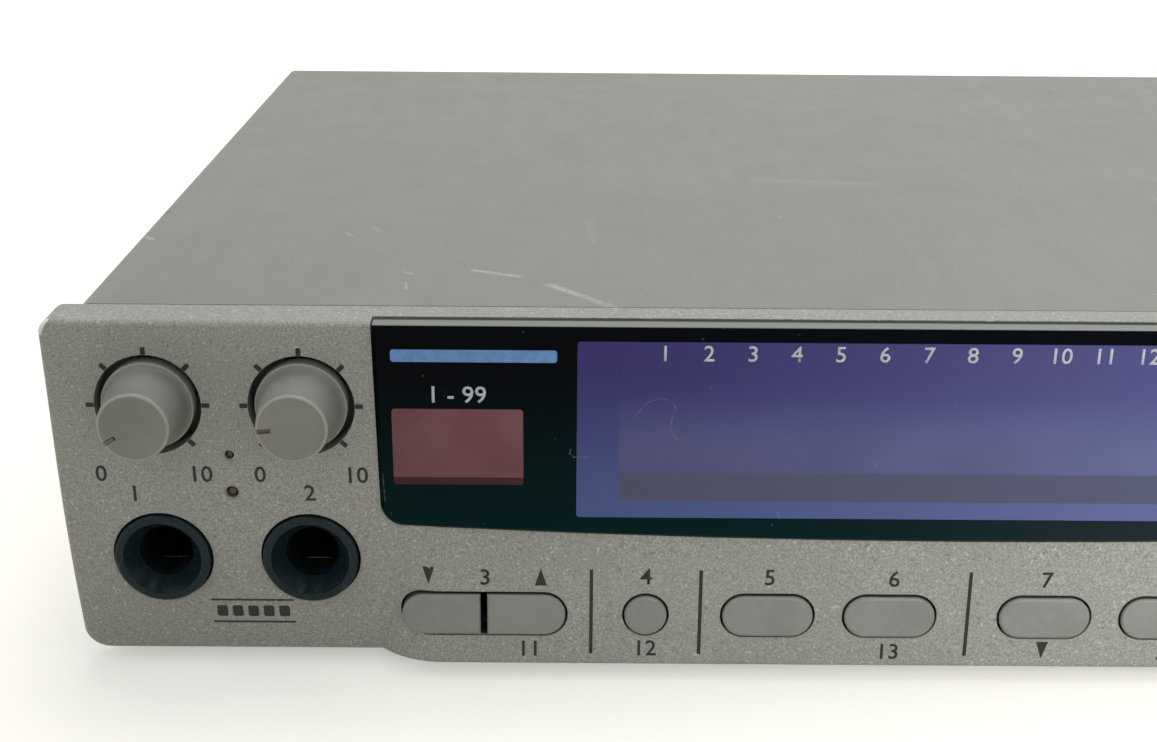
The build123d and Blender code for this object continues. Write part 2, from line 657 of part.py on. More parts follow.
def knob(index):
    """Tapered cap with a flared rim, a hollow skirt, a D bore and a pointer groove."""
    waist, rim = KNOB_WAIST_R, KNOB_RIM_R
    back, out = -KNOB_BACK, KNOB_OUT
    side_top, side_low = (KNOB_FACE_R, out), (waist, KNOB_RIM_OUT + KNOB_FLARE)
    taper = (side_low[0] - side_top[0], side_low[1] - side_top[1])
    flare = TangentArc(side_low, (rim, KNOB_RIM_OUT), tangent=taper)
    body = Polyline((rim, KNOB_RIM_OUT), (rim, back), (0, back), (0, out), side_top, side_low)
    profile = Plane.XZ * make_face([flare, body])
    cap = revolve(profile, Axis.Z)
    cap = fillet(cap.edges().sort_by(Axis.Z)[-1], KNOB_EDGE_R)
    skirt = along_z(Circle(rim - KNOB_SKIRT), back, KNOB_SKIRT_END)
    bore = Circle(SHAFT_R + SHAFT_FIT) - Pos(0, SHAFT_FLAT + SHAFT_FIT + SHAFT_R) * Rectangle(
        3 * SHAFT_R, 2 * SHAFT_R)
    cap -= skirt
    cap -= Pos(0, 0, back) * extrude(bore, KNOB_BACK + out - SHAFT_TIP + SHAFT_FIT)
    groove = Box(POINTER_W, 2 * POINTER_L, 2 * POINTER_DEEP)
    cap -= Pos(0, KNOB_FACE_R, out) * groove
    return Plane.XZ * Pos(KNOB_X[index], KNOB_Z, 0) * Rot(0, 0, KNOB_REST[index]) * cap


def knob_shaft(index):
    """D shaft from the middle of the pot to the bore of the knob."""
    flat = Pos(0, SHAFT_FLAT + SHAFT_R) * Rectangle(3 * SHAFT_R, 2 * SHAFT_R)
    tip = KNOB_OUT - SHAFT_TIP
    pot_front = FRONT_BOARD_Y - POT_SIZE[2]
    root = POT_BUSH_L - pot_front
    shaft = along_z(Circle(SHAFT_R) - flat, root, tip)
    hub = along_z(Circle(SHAFT_R), POT_FLOOR + RUN_GAP - FRONT_BOARD_Y, root)
    return Plane.XZ * Pos(KNOB_X[index], KNOB_Z, 0) * Rot(0, 0, KNOB_REST[index]) * (shaft + hub)


def pot(index):
    """Case on the front board with a collar round the shaft and three legs."""
    x = KNOB_X[index]
    width, height, depth = POT_SIZE
    front = FRONT_BOARD_Y - depth
    body = block((x - width / 2, x + width / 2), (front, FRONT_BOARD_Y),
                 (KNOB_Z - height / 2, KNOB_Z + height / 2))
    body = chamfer(body.edges().filter_by(Axis.Y), POT_EDGE)
    body += disc(x, KNOB_Z, POT_BUSH_R, front - POT_BUSH_L, front)
    body -= disc(x, KNOB_Z, SHAFT_R + RUN_GAP, front - EXTRA, FRONT_BOARD_Y - POT_FLOOR)
    return body


# ---------------------------------------------------------------- plug sockets

def socket_bore(x, z, front_y, direction):
    """Stepped hole that takes a plug: a flared mouth and a straight barrel."""
    flare = (MOUTH_R - PLUG_R) * MOUTH_FLARE
    outline = [(0, 0.0), (MOUTH_R, 0.0), (MOUTH_R - flare, -MOUTH_DEPTH * MOUTH_FLARE),
               (PLUG_R, -MOUTH_DEPTH), (PLUG_R, -PLUG_DEPTH), (0, -PLUG_DEPTH)]
    bore = make_face(Plane.XZ * Polyline(*outline, close=True))
    bore = revolve(bore, Axis.Z)
    facing = Rot(90, 0, 0) if direction < 0 else Rot(-90, 0, 0)
    return Pos(x, front_y, z) * facing * bore


def front_jack(x):
    """Glossy bush that stands in the fascia and a square case behind the steel wall."""
    width, height, length = JACK_BODY
    body_y = WALL_BACK + JOINT_GAP
    bush = disc(x, FRONT_JACK_Z, BUSH_R, BUSH_FRONT_Y, body_y)
    rim = bush.faces().sort_by(Axis.Y)[0].edges()
    bush = fillet(rim, LIP_R)
    case = block((x - width / 2, x + width / 2), (body_y, body_y + length),
                 (FRONT_JACK_Z - height / 2, FRONT_JACK_Z + height / 2))
    case = chamfer(case.edges().filter_by(Axis.Y), JACK_EDGE)
    jack = bush + case - socket_bore(x, FRONT_JACK_Z, BUSH_FRONT_Y, -1)
    return jack - contact_bar(x, FRONT_JACK_Z, BUSH_FRONT_Y, -1, as_slot=True)


def rear_jack(x):
    """Case on the main board with a threaded bush through the back wall."""
    width, height, length = JACK_BODY
    tip = TRAY_BACK + REAR_BUSH_OUT
    bush = disc(x, REAR_JACK_Z, REAR_BUSH_R, BACK_INNER, tip)
    bush = chamfer(bush.faces().sort_by(Axis.Y)[-1].edges(), REAR_BUSH_EDGE)
    case = block((x - width / 2, x + width / 2), (BACK_INNER - length, BACK_INNER),
                 (REAR_JACK_Z - height / 2, REAR_JACK_Z + height / 2))
    case = chamfer(case.edges().filter_by(Axis.Y), JACK_EDGE)
    jack = bush + case - socket_bore(x, REAR_JACK_Z, tip, 1)
    return jack - contact_bar(x, REAR_JACK_Z, tip, 1, as_slot=True)


def jack_nut(x):
    """Round-cornered hexagon nut on the outside of the back wall."""
    ring = RegularPolygon(NUT_R, 6) & Circle(NUT_R * NUT_ROUND)
    ring -= Circle(REAR_BUSH_R + SHAFT_FIT)
    return along_y(Pos(x, REAR_JACK_Z) * ring, TRAY_BACK, TRAY_BACK + NUT_T)


def contact_bar(x, z, mouth_y, direction, as_slot=False):
    """Contact strip beside a plug barrel, or the slot in the case that it lies in."""
    ends = (mouth_y - direction * CONTACT_START, mouth_y - direction * CONTACT_END)
    outer = x + PLUG_R + CONTACT_BACK + CONTACT_T
    inner = x if as_slot else outer - CONTACT_T
    half = CONTACT_W / 2 + (SCREW_FIT if as_slot else 0.0)
    return block((inner, outer), sorted(ends), (z - half, z + half))


def jack_contacts():
    """Brass contact strips along one side of every plug barrel."""
    strips = [contact_bar(x, FRONT_JACK_Z, BUSH_FRONT_Y, -1) for x in KNOB_X]
    tip = TRAY_BACK + REAR_BUSH_OUT
    return strips + [contact_bar(x, REAR_JACK_Z, tip, 1) for x in REAR_JACK_X.values()]


# ---------------------------------------------------------------- lamps, buttons and switches

def lamps():
    """Two signal lamps and the pilot lamp, each a domed tube with two leads to its board."""
    sites = [(LAMP_X, z, radius) for z, radius in zip(LAMP_Z, LAMP_R)]
    sites.append((-LAMP_X, PILOT_Z, PILOT_R))
    bodies = []
    for x, z, radius in sites:
        tip = disc(x, z, radius, LAMP_SUNK, FASCIA_DEPTH)
        tip = fillet(tip.faces().sort_by(Axis.Y)[0].edges(), radius * LAMP_DOME)
        bodies.append(tip + disc(x, z, radius + LAMP_FLANGE, FASCIA_DEPTH, FRONT_BOARD_Y))
    return group(bodies)


def push_button(x, width, side):
    """Cap with a softened face that leans with the strip, a stop collar and a plunger."""
    cap = along_y(button_outline(x, width, side, -BUTTON_GAP), -EXTRA, COLLAR_Y)
    top = BUTTON_Z + OVAL_H
    lean = Polyline((strip_y(0) - BUTTON_PROUD, 0), (strip_y(top) - BUTTON_PROUD, top),
                    (COLLAR_Y + EXTRA, top), (COLLAR_Y + EXTRA, 0), close=True)
    cap &= along_x(make_face(lean), -HALF_W, HALF_W)
    face = cap.faces().sort_by(Axis.Y)[0]
    cap = fillet(face.edges(), BUTTON_EDGE_R)
    stem_x = x + side * width / 4
    collar = along_y(button_outline(x, width, side, COLLAR_W), COLLAR_Y, COLLAR_Y + COLLAR_T)
    collar_x = STRIP_HALF_W + COLLAR_W
    collar &= block((-collar_x, collar_x), (0, FASCIA_DEPTH), (0, FASCIA_H))
    return cap + collar + disc(stem_x, BUTTON_Z, STEM_R, COLLAR_Y + COLLAR_T, STEM_END)


def tact_switches():
    """A square switch with a domed actuator on the front board behind each button."""
    switches = []
    half = SWITCH_SIZE / 2
    for x, width, side in BUTTONS.values():
        centre = x + side * width / 4
        case = block((centre - half, centre + half), (SWITCH_FACE, FRONT_BOARD_Y),
                     (BUTTON_Z - half, BUTTON_Z + half))
        case = chamfer(case.edges().filter_by(Axis.Y), SWITCH_EDGE)
        dome = disc(centre, BUTTON_Z, DOME_R, DOME_TIP, SWITCH_FACE)
        switches.append(case + chamfer(dome.faces().sort_by(Axis.Y)[0].edges(), DOME_EDGE))
    return group(switches)


def power_button():
    """Square-ended push cap on a round stem that runs into its switch."""
    cap = along_y(power_outline(), -POWER_OUT, POWER_CAP_BACK)
    cap = fillet(cap.faces().sort_by(Axis.Y)[0].edges(), BUTTON_EDGE_R)
    return cap + disc(POWER_X, POWER_Z, POWER_STEM_R, POWER_CAP_BACK, POWER_BODY_Y + POWER_GRIP)


def power_switch():
    width, height, length = POWER_BODY
    case = block((POWER_X - width / 2, POWER_X + width / 2), (POWER_BODY_Y, POWER_BODY_Y + length),
                 (POWER_Z - height / 2, POWER_Z + height / 2))
    case = chamfer(case.edges().filter_by(Axis.Y), POWER_EDGE)
    depth = POWER_GRIP + POWER_TRAVEL + RUN_GAP
    return case - disc(POWER_X, POWER_Z, POWER_STEM_R + RUN_GAP, POWER_BODY_Y - EXTRA,
                       POWER_BODY_Y + depth)


# ---------------------------------------------------------------- steel tray and cover

def pan(x, y, z0, z1, inset):
    """Box with its four lower edges bent, for the outside or the inside of a folded pan."""
    low = z0 + inset
    shape = block((-x + inset, x - inset), (y[0] + inset, y[1] - inset), (low, z1))
    return fillet(shape.edges().group_by(Axis.Z)[0], BEND_R - inset)


def chassis_tray():
    """Flat floor with the perforated front wall, socket wall and side lips welded to its edges."""
    depth = (COVER_FRONT, TRAY_BACK)
    tray = pan(TRAY_X, depth, TRAY_Z, TRAY_TOP, 0.0)
    tray -= pan(TRAY_X, depth, TRAY_Z, TRAY_TOP + EXTRA, SHEET)
    lip_z = TRAY_Z + TRAY_LIP
    tray -= block((-HALF_W, HALF_W), (COVER_FRONT + 2 * BEND_R, TRAY_BACK - 2 * BEND_R),
                  (lip_z, FASCIA_H))
    tray -= block((-HALF_W, HALF_W), (WALL_BACK, LIP_START), (TRAY_FLOOR + BEND_R, FASCIA_H))
    tray -= block((-HALF_W, HALF_W), (COVER_FRONT - EXTRA, COVER_FRONT + 2 * BEND_R),
                  (FRONT_WALL_TOP, FASCIA_H))
    for row in (-1, 1):
        for i in range(VENT_COUNT):
            y = VENT_Y + (i - (VENT_COUNT - 1) / 2) * VENT_PITCH
            tray -= along_z(Pos(row * VENT_X, y) * SlotOverall(VENT_L, VENT_W), -EXTRA, TRAY_FLOOR + SHEET)
    tray -= front_wall_cuts() + back_wall_cuts()
    for x, y in FEET:
        tray -= along_z(Pos(x, y) * Circle(SCREW_R + SCREW_FIT), -EXTRA, TRAY_FLOOR + SHEET)
    for y in SIDE_SCREW_Y:
        tray -= side_bar(y, SIDE_SCREW_Z, SCREW_R + SCREW_FIT, HALF_W)
    return group(tray & zone for zone in weld_zones())


def weld_zones():
    """Space of the floor, of the front and back walls with their bends, and of each side lip."""
    flat_x, tall = TRAY_X - BEND_R, (TRAY_Z - EXTRA, FASCIA_H)
    flat_y = (COVER_FRONT + BEND_R, TRAY_BACK - BEND_R)
    floor = block((-flat_x, flat_x), flat_y, tall)
    front = block((-HALF_W, HALF_W), (COVER_FRONT - EXTRA, flat_y[0]), tall)
    back = block((-HALF_W, HALF_W), (flat_y[1], TRAY_BACK + EXTRA), tall)
    lip = block((flat_x, HALF_W), flat_y, tall)
    return [floor, front, back, lip, mirror(lip, about=Plane.YZ)]


def side_bar(y, z, radius, reach):
    """A round bar right across the unit."""
    return along_x(Pos(y, z) * Circle(radius), -reach, reach)


def front_wall_cuts():
    """Openings in the steel front wall for the displays, buttons, pots, sockets and screws."""
    y = (COVER_FRONT - SHEET, WALL_BACK + SHEET)
    cuts = [block((-LENS_HALF_TOP, LENS_HALF_TOP), y, (LENS_LOW_Z, FRONT_WALL_TOP - SHEET))]
    cuts.append(block((-WALL_SLOT_X, WALL_SLOT_X), y, (TRAY_FLOOR + WALL_SLOT_LOW, WALL_SLOT_Z)))
    for x in KNOB_X:
        cuts.append(disc(x, KNOB_Z, POT_BUSH_R + JOINT_GAP, *y))
        cuts.append(disc(x, FRONT_JACK_Z, BUSH_R + BUSH_HOLE_GAP, *y))
    around = max(LAMP_R) + WALL_LAMP_GAP
    cuts.append(block((LAMP_X - around, LAMP_X + around), y, (LAMP_Z[1] - around, LAMP_Z[0] + around)))
    cuts.append(disc(-LAMP_X, PILOT_Z, PILOT_R + WALL_LAMP_GAP, *y))
    cuts.append(disc(POWER_X, POWER_Z, POWER_STEM_R + WALL_STEM_GAP, *y))
    cuts += [disc(x, z, SCREW_R + SCREW_FIT, *y) for x, z in BOSS_AT]
    return cuts


def back_wall_cuts():
    y = (BACK_INNER - SHEET, TRAY_BACK + SHEET)
    cuts = [disc(x, REAR_JACK_Z, REAR_BUSH_R + WALL_FIT, *y) for x in REAR_JACK_X.values()]
    cuts += [disc(x, MIDI_Z, MIDI_R + WALL_FIT, *y) for x in MIDI_X.values()]
    cuts.append(disc(DC_X, DC_Z, DC_R + WALL_FIT, *y))
    slot_w, slot_h = LEVEL_SLOT
    cuts.append(block((LEVEL_X - slot_w / 2, LEVEL_X + slot_w / 2), y,
                      (LEVEL_Z - slot_h / 2, LEVEL_Z + slot_h / 2)))
    cuts.append(disc(HOOK_X, HOOK_Z, SCREW_R + SCREW_FIT, *y))
    return cuts


def top_cover():
    """Folded top with two sides that reach down over the tray's lips."""
    y = (COVER_FRONT, UNIT_DEPTH)
    outer = block((-COVER_X, COVER_X), y, (TRAY_Z + COVER_SKIRT_GAP, FASCIA_H))
    outer = fillet(outer.edges().filter_by(Axis.Y).group_by(Axis.Z)[-1], BEND_R)
    inner_x = COVER_X - SHEET
    inner = block((-inner_x, inner_x), (y[0] - EXTRA, y[1] + EXTRA), (0, FASCIA_H - SHEET))
    cover = outer - fillet(inner.edges().filter_by(Axis.Y).group_by(Axis.Z)[-1], BEND_R - SHEET)
    for y in SIDE_SCREW_Y:
        cover -= side_bar(y, SIDE_SCREW_Z, SCREW_R + SCREW_FIT, HALF_W)
    for y in RACK_HOLE_Y:
        cover -= side_bar(y, RACK_HOLE_Z, RACK_BORE_R + RACK_HOLE_GAP, HALF_W)
    return cover


def rack_nuts():
    """Round nuts pressed into the cover's sides, for the ears of a rack tray."""
    ring = Circle(RACK_NUT_R) - Circle(RACK_BORE_R)
    inner_x = COVER_X - SHEET
    nuts = [along_x(Pos(y, RACK_HOLE_Z) * ring, inner_x - RACK_NUT_T, inner_x)
            for y in RACK_HOLE_Y]
    return group(nuts + [mirror(nut, about=Plane.YZ) for nut in nuts])


def rubber_feet():
    """Round feet, narrower at the table, each with a well for its screw."""
    profile = Polyline((0, TRAY_Z), (FOOT_R, TRAY_Z), (FOOT_R, TRAY_Z - FOOT_STEP),
                       (FOOT_R - FOOT_TAPER, TRAY_Z - FOOT_H), (0, TRAY_Z - FOOT_H), close=True)
    foot = revolve(make_face(Plane.XZ * profile), Axis.Z)
    foot = fillet(foot.edges().group_by(Axis.Z)[0], FOOT_EDGE_R)
    well = SCREW_HEAD_R + JOINT_GAP
    foot -= Pos(0, 0, TRAY_Z - FOOT_H) * Cylinder(well, 2 * FOOT_WELL)
    foot -= Cylinder(SCREW_R + SCREW_FIT, 4 * FOOT_H)
    return group(Pos(x, y, 0) * foot for x, y in FEET)


# ---------------------------------------------------------------- screws and spacers

def screw(length):
    """Pan-head screw along Z: the head stands on z = 0 and the shank hangs below it."""
    head = Cylinder(SCREW_HEAD_R, SCREW_HEAD_T, align=(Align.CENTER, Align.CENTER, Align.MIN))
    head = fillet(head.edges().sort_by(Axis.Z)[-1], SCREW_EDGE_R)
    for turn in (0, 90):
        head -= Pos(0, 0, SCREW_HEAD_T) * Rot(0, 0, turn) * Box(DRIVE_L, DRIVE_W, 2 * DRIVE_DEEP)
    return head + Pos(0, 0, -length / 2) * Cylinder(SCREW_R, length)


def cover_screws():
    """Side screws of the cover, the screws of the feet and the one in the cord hook."""
    side = Rot(0, 90, 0) * screw(CASE_SCREW_L)
    screws = [Pos(COVER_X, y, SIDE_SCREW_Z) * side for y in SIDE_SCREW_Y]
    screws += [mirror(one, about=Plane.YZ) for one in screws]
    below = TRAY_Z - FOOT_H + FOOT_WELL
    foot = Rot(180, 0, 0) * screw(TRAY_FLOOR + FOOT_SCREW_END - below)
    screws += [Pos(x, y, below) * foot for x, y in FEET]
    hook = Rot(-90, 0, 0) * screw(CASE_SCREW_L)
    screws.append(Pos(HOOK_X, TRAY_BACK + HOOK_T, HOOK_Z) * hook)
    return group(screws)


def inner_screws():
    """Screws into the fascia's posts, the front board's spacers and the boards' pillars."""
    to_front = Rot(-90, 0, 0) * screw(INNER_SCREW_L)
    screws = [Pos(x, WALL_BACK, z) * to_front for x, z in BOSS_AT]
    screws += [Pos(x, FRONT_BOARD_Y + BOARD_T, z) * to_front for x, z in SPACER_AT]
    screws += [Pos(x, y, top) * screw(INNER_SCREW_L) for x, y, top in PILLARS]
    return group(screws)


def spacers():
    """Round spacers behind the steel front wall and pillars under the other boards."""
    ring = Circle(SPACER_R) - Circle(SCREW_R + SCREW_FIT)
    pieces = [along_y(Pos(x, z) * ring, WALL_BACK, FRONT_BOARD_Y) for x, z in SPACER_AT]
    wide = Circle(PILLAR_R) - Circle(SCREW_R + SCREW_FIT)
    pieces += [along_z(Pos(x, y) * wide, TRAY_FLOOR, top - BOARD_T) for x, y, top in PILLARS]
    return group(pieces)


# ---------------------------------------------------------------- boards and their parts

def front_board():
    """Board behind the fascia, notched at both ends for the sockets and the power switch."""
    half = FRONT_BOARD_HALF_W
    outline = Polyline((-BOARD_NOTCH_X, FRONT_BOARD_LOW), (BOARD_NOTCH_X, FRONT_BOARD_LOW),
                       (BOARD_NOTCH_X, BOARD_NOTCH_Z), (half, BOARD_NOTCH_Z),
                       (half, FRONT_BOARD_TOP), (-half, FRONT_BOARD_TOP),
                       (-half, BOARD_NOTCH_Z), (-BOARD_NOTCH_X, BOARD_NOTCH_Z), close=True)
    board = along_y(make_face(outline), FRONT_BOARD_Y, FRONT_BOARD_Y + BOARD_T)
    for x, z in SPACER_AT:
        board -= disc(x, z, SCREW_R + SCREW_FIT, FRONT_BOARD_Y - BOARD_T, FRONT_BOARD_Y + 2 * BOARD_T)
    return board


def flat_board(x, y, top):
    board = block(x, y, (top - BOARD_T, top))
    for px, py, level in PILLARS:
        if level == top and x[0] < px < x[1]:
            board -= along_z(Pos(px, py) * Circle(SCREW_R + SCREW_FIT), top - 2 * BOARD_T, top + BOARD_T)
    return board


def main_board():
    return flat_board((-MAIN_BOARD_HALF_W, MAIN_BOARD_HALF_W), MAIN_BOARD_Y, MAIN_TOP)


def side_boards():
    """Small boards that carry the two front sockets and the power switch."""
    left = flat_board(JACK_BOARD_X, JACK_BOARD_Y, JACK_BOARD_TOP)
    right = flat_board((-JACK_BOARD_X[1], -JACK_BOARD_X[0]), JACK_BOARD_Y, POWER_BOARD_TOP)
    return group([left, right])


def processor_chips():
    """Flat packages with a skirt of pins on two sides."""
    chips = []
    for x, y, width, length in CHIPS:
        body = block((x - width / 2, x + width / 2), (y - length / 2, y + length / 2),
                     (MAIN_TOP + CHIP_FOOT, MAIN_TOP + CHIP_T))
        body = chamfer(body.faces().sort_by(Axis.Z)[-1].edges(), CHIP_EDGE)
        count = int(length / PIN_PITCH) - 1
        for i in range(count):
            pin_y = y + (i - (count - 1) / 2) * PIN_PITCH
            body += block((x - width / 2 - PIN_OUT, x + width / 2 + PIN_OUT),
                          (pin_y - PIN_T, pin_y + PIN_T), (MAIN_TOP, MAIN_TOP + PIN_H))
        chips.append(body)
    return group(chips)


def capacitors():
    cans = []
    for x, y, radius, height in CAPACITORS:
        can = Pos(x, y, MAIN_TOP + height / 2) * Cylinder(radius, height)
        can = fillet(can.faces().sort_by(Axis.Z)[-1].edges(), CAN_EDGE_R)
        bead = Pos(x, y) * (Circle(2 * radius) - Circle(radius - CAN_BEAD_DEEP))
        cans.append(can - along_z(bead, MAIN_TOP + CAN_BEAD[0], MAIN_TOP + CAN_BEAD[1]))
    return group(cans)


def heat_sink():
    """Aluminium extrusion: a plate with fins behind it."""
    x, y = SINK_AT
    width, depth, height = SINK_SIZE
    left, front = x - width / 2, y - depth / 2
    shape = Pos(x, front + SINK_WALL / 2) * Rectangle(width, SINK_WALL)
    pitch = (width - SINK_WALL) / (SINK_FINS - 1)
    for i in range(SINK_FINS):
        fin_x = left + SINK_WALL / 2 + i * pitch
        shape += Pos(fin_x, y) * Rectangle(SINK_WALL, depth)
    return along_z(shape, MAIN_TOP, MAIN_TOP + height)


def regulator():
    """Plastic block with a metal tab, standing against the heat sink on three legs."""
    x, y = SINK_AT
    width, thick, height = REG_SIZE
    back = y - SINK_SIZE[1] / 2
    low = MAIN_TOP + REG_RISE
    high = low + height + REG_TAB_MORE
    tab = block((x - width / 2, x + width / 2), (back - REG_TAB_T, back), (low, high))
    tab -= disc(x, high - REG_TAB_MORE / 2, REG_EYE_R, back - 2 * REG_TAB_T, back + REG_TAB_T)
    body = block((x - width / 2, x + width / 2), (back - thick, back - REG_TAB_T), (low, low + height))
    legs = [along_z(Pos(x + i * PIN_PITCH, back - REG_LEG_Y) * Rectangle(*REG_LEG), MAIN_TOP, low)
            for i in (-1, 0, 1)]
    return tab + body + legs


def backup_cell():
    """Coin cell that lies in a round holder."""
    x, y = CELL_AT
    wall = CELL_R + JOINT_GAP
    low, high = MAIN_TOP + CELL_FLOOR, MAIN_TOP + CELL_FLOOR + CELL_T
    holder = along_z(Pos(x, y) * Circle(wall + CELL_WALL), MAIN_TOP, high)
    holder -= along_z(Pos(x, y) * Circle(wall), low, high + EXTRA)
    cell = along_z(Pos(x, y) * Circle(CELL_R), low, high)
    return group([holder, chamfer(cell.edges(), CELL_EDGE)])


def ribbon_plugs():
    """Plug blocks on the back of the front board and on the main board."""
    width, thick, height = PLUG_BLOCK
    back = FRONT_BOARD_Y + BOARD_T
    x = (RIBBON_X - width / 2, RIBBON_X + width / 2)
    front = block(x, (back, back + height), (FRONT_PLUG_Z - thick / 2, FRONT_PLUG_Z + thick / 2))
    main = block(x, (RIBBON_Y - thick / 2, RIBBON_Y + thick / 2), (MAIN_TOP, MAIN_TOP + height))
    return group([front, main])


def ribbon_cable():
    """Flat cable, straight back from the front board and down to the main board."""
    start = FRONT_BOARD_Y + BOARD_T + PLUG_BLOCK[2]
    path = FilletPolyline((start, FRONT_PLUG_Z), (RIBBON_Y, FRONT_PLUG_Z),
                          (RIBBON_Y, MAIN_TOP + PLUG_BLOCK[2]), radius=RIBBON_BEND)
    strip = trace(path, RIBBON_T)
    return along_x(strip, RIBBON_X - RIBBON_W / 2, RIBBON_X + RIBBON_W / 2)


# ---------------------------------------------------------------- back wall fittings

def level_switch():
    """Slide switch behind the wall, with a well that its slider runs in."""
    width, height, depth = LEVEL_BODY
    body = block((LEVEL_X - width / 2, LEVEL_X + width / 2), (BACK_INNER - depth, BACK_INNER),
                 (LEVEL_Z - height / 2, LEVEL_Z + height / 2))
    run = (LEVEL_KNOB[0] + LEVEL_TRAVEL) / 2 + RUN_GAP
    rise = LEVEL_KNOB[1] / 2 + RUN_GAP
    return body - block((LEVEL_X - run, LEVEL_X + run), (BACK_INNER - LEVEL_ROOT - RUN_GAP, TRAY_BACK),
                        (LEVEL_Z - rise, LEVEL_Z + rise))


def level_slider():
    """Ribbed slider, drawn at the end of its travel nearer the left of the unit."""
    x = LEVEL_X - LEVEL_TRAVEL / 2
    width, height = LEVEL_KNOB
    tip = TRAY_BACK + LEVEL_OUT
    slider = block((x - width / 2, x + width / 2), (BACK_INNER - LEVEL_ROOT, tip),
                   (LEVEL_Z - height / 2, LEVEL_Z + height / 2))
    rib_w, rib_deep = LEVEL_RIB
    for i in (-1, 0, 1):
        rib = Pos(x + i * width / 4, LEVEL_Z) * Rectangle(rib_w, 2 * height)
        slider -= along_y(rib, tip - rib_deep, tip + rib_deep)
    return slider


def midi_socket(x):
    """Five-pin round socket: a housing with a round well and its key, and a core with pin holes."""
    width, height, depth = MIDI_BODY
    well_floor = TRAY_BACK - MIDI_WELL_DEPTH
    housing = block((x - width / 2, x + width / 2), (BACK_INNER - depth, BACK_INNER),
                    (MIDI_Z - height / 2, MIDI_Z + height / 2))
    housing += disc(x, MIDI_Z, MIDI_R, BACK_INNER, TRAY_BACK)
    well = Circle(MIDI_WELL_R)
    well += Pos(0, -MIDI_WELL_R) * Rectangle(MIDI_KEY_W, 2 * (MIDI_WELL_R - MIDI_CORE_R))
    housing -= along_y(Pos(x, MIDI_Z) * well, well_floor, TRAY_BACK + EXTRA)
    pins = PolarLocations(MIDI_RING_R, 5, start_angle=0, angular_range=180, endpoint=True)
    face = Circle(MIDI_CORE_R) - pins * Circle(MIDI_PIN_R)
    core = along_y(Pos(x, MIDI_Z) * face, well_floor, TRAY_BACK)
    return group([housing, core])


def dc_inlet():
    """Barrel inlet with its centre pin."""
    width, height, depth = DC_BODY
    body = block((DC_X - width / 2, DC_X + width / 2), (BACK_INNER - depth, BACK_INNER),
                 (DC_Z - height / 2, DC_Z + height / 2))
    body += disc(DC_X, DC_Z, DC_R, BACK_INNER, TRAY_BACK)
    body -= disc(DC_X, DC_Z, DC_BORE_R, TRAY_BACK - DC_BORE_DEPTH, TRAY_BACK + EXTRA)
    return body + disc(DC_X, DC_Z, DC_PIN_R, TRAY_BACK - DC_BORE_DEPTH, TRAY_BACK - DC_PIN_SUNK)


def cord_hook():
    """J-shaped clip for the adaptor's cord, screwed to the wall beside its inlet."""
    back = TRAY_BACK + HOOK_T / 2
    out = TRAY_BACK + HOOK_OUT - HOOK_T / 2
    top, low = HOOK_Z + HOOK_H / 3, HOOK_Z - HOOK_H * 2 / 3
    path = FilletPolyline((back, top), (back, low), (out, low), (out, low + HOOK_H / 2),
                          radius=HOOK_T)
    clip = along_x(trace(path, HOOK_T), HOOK_X - HOOK_W / 2, HOOK_X + HOOK_W / 2)
    return clip - disc(HOOK_X, HOOK_Z, SCREW_R + SCREW_FIT, TRAY_BACK - HOOK_T, back + HOOK_T)


# ---------------------------------------------------------------- the assembly

def pieces():
    """Every named piece of the unit."""
    named = {
        "front_fascia": front_fascia(), "display_lens": display_lens(), "lens_tape": lens_tape(),
        "patch_window": pane(PATCH_PANE), "lcd_window": pane(LCD_PANE),
        "led_display": led_display(), "lcd_module": lcd_module(), "lamps": lamps(),
        "input_knob": knob(0), "phones_knob": knob(1),
        "input_shaft": knob_shaft(0), "phones_shaft": knob_shaft(1),
        "input_pot": pot(0), "phones_pot": pot(1),
        "input_jack": front_jack(KNOB_X[0]), "phones_jack": front_jack(KNOB_X[1]),
        "jack_contacts": group(jack_contacts()), "tact_switches": tact_switches(),
        "power_button": power_button(), "power_switch": power_switch(),
        "chassis_tray": chassis_tray(), "top_cover": top_cover(), "rack_nuts": rack_nuts(),
        "rubber_feet": rubber_feet(), "cover_screws": cover_screws(),
        "inner_screws": inner_screws(), "spacers": spacers(),
        "front_board": front_board(), "side_boards": side_boards(), "main_board": main_board(),
        "processor_chips": processor_chips(), "capacitors": capacitors(),
        "heat_sink": heat_sink(), "regulator": regulator(), "backup_cell": backup_cell(),
        "ribbon_plugs": ribbon_plugs(), "ribbon_cable": ribbon_cable(),
        "jack_nuts": group(jack_nut(x) for x in REAR_JACK_X.values()),
        "level_switch": level_switch(), "level_slider": level_slider(),
        "dc_inlet": dc_inlet(), "cord_hook": cord_hook()}
    named |= {name: push_button(*spot) for name, spot in BUTTONS.items()}
    named |= {name: rear_jack(x) for name, x in REAR_JACK_X.items()}
    named |= {name: midi_socket(x) for name, x in MIDI_X.items()}
    return named


os.makedirs("parts", exist_ok=True)
for name, shape in pieces().items():
    export_step(Pos(0, -MIDDLE_Y, FOOT_DROP) * shape, f"parts/{name}.step")
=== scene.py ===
import json
from math import pi, radians, sqrt

import bpy
from mathutils import Matrix, Vector

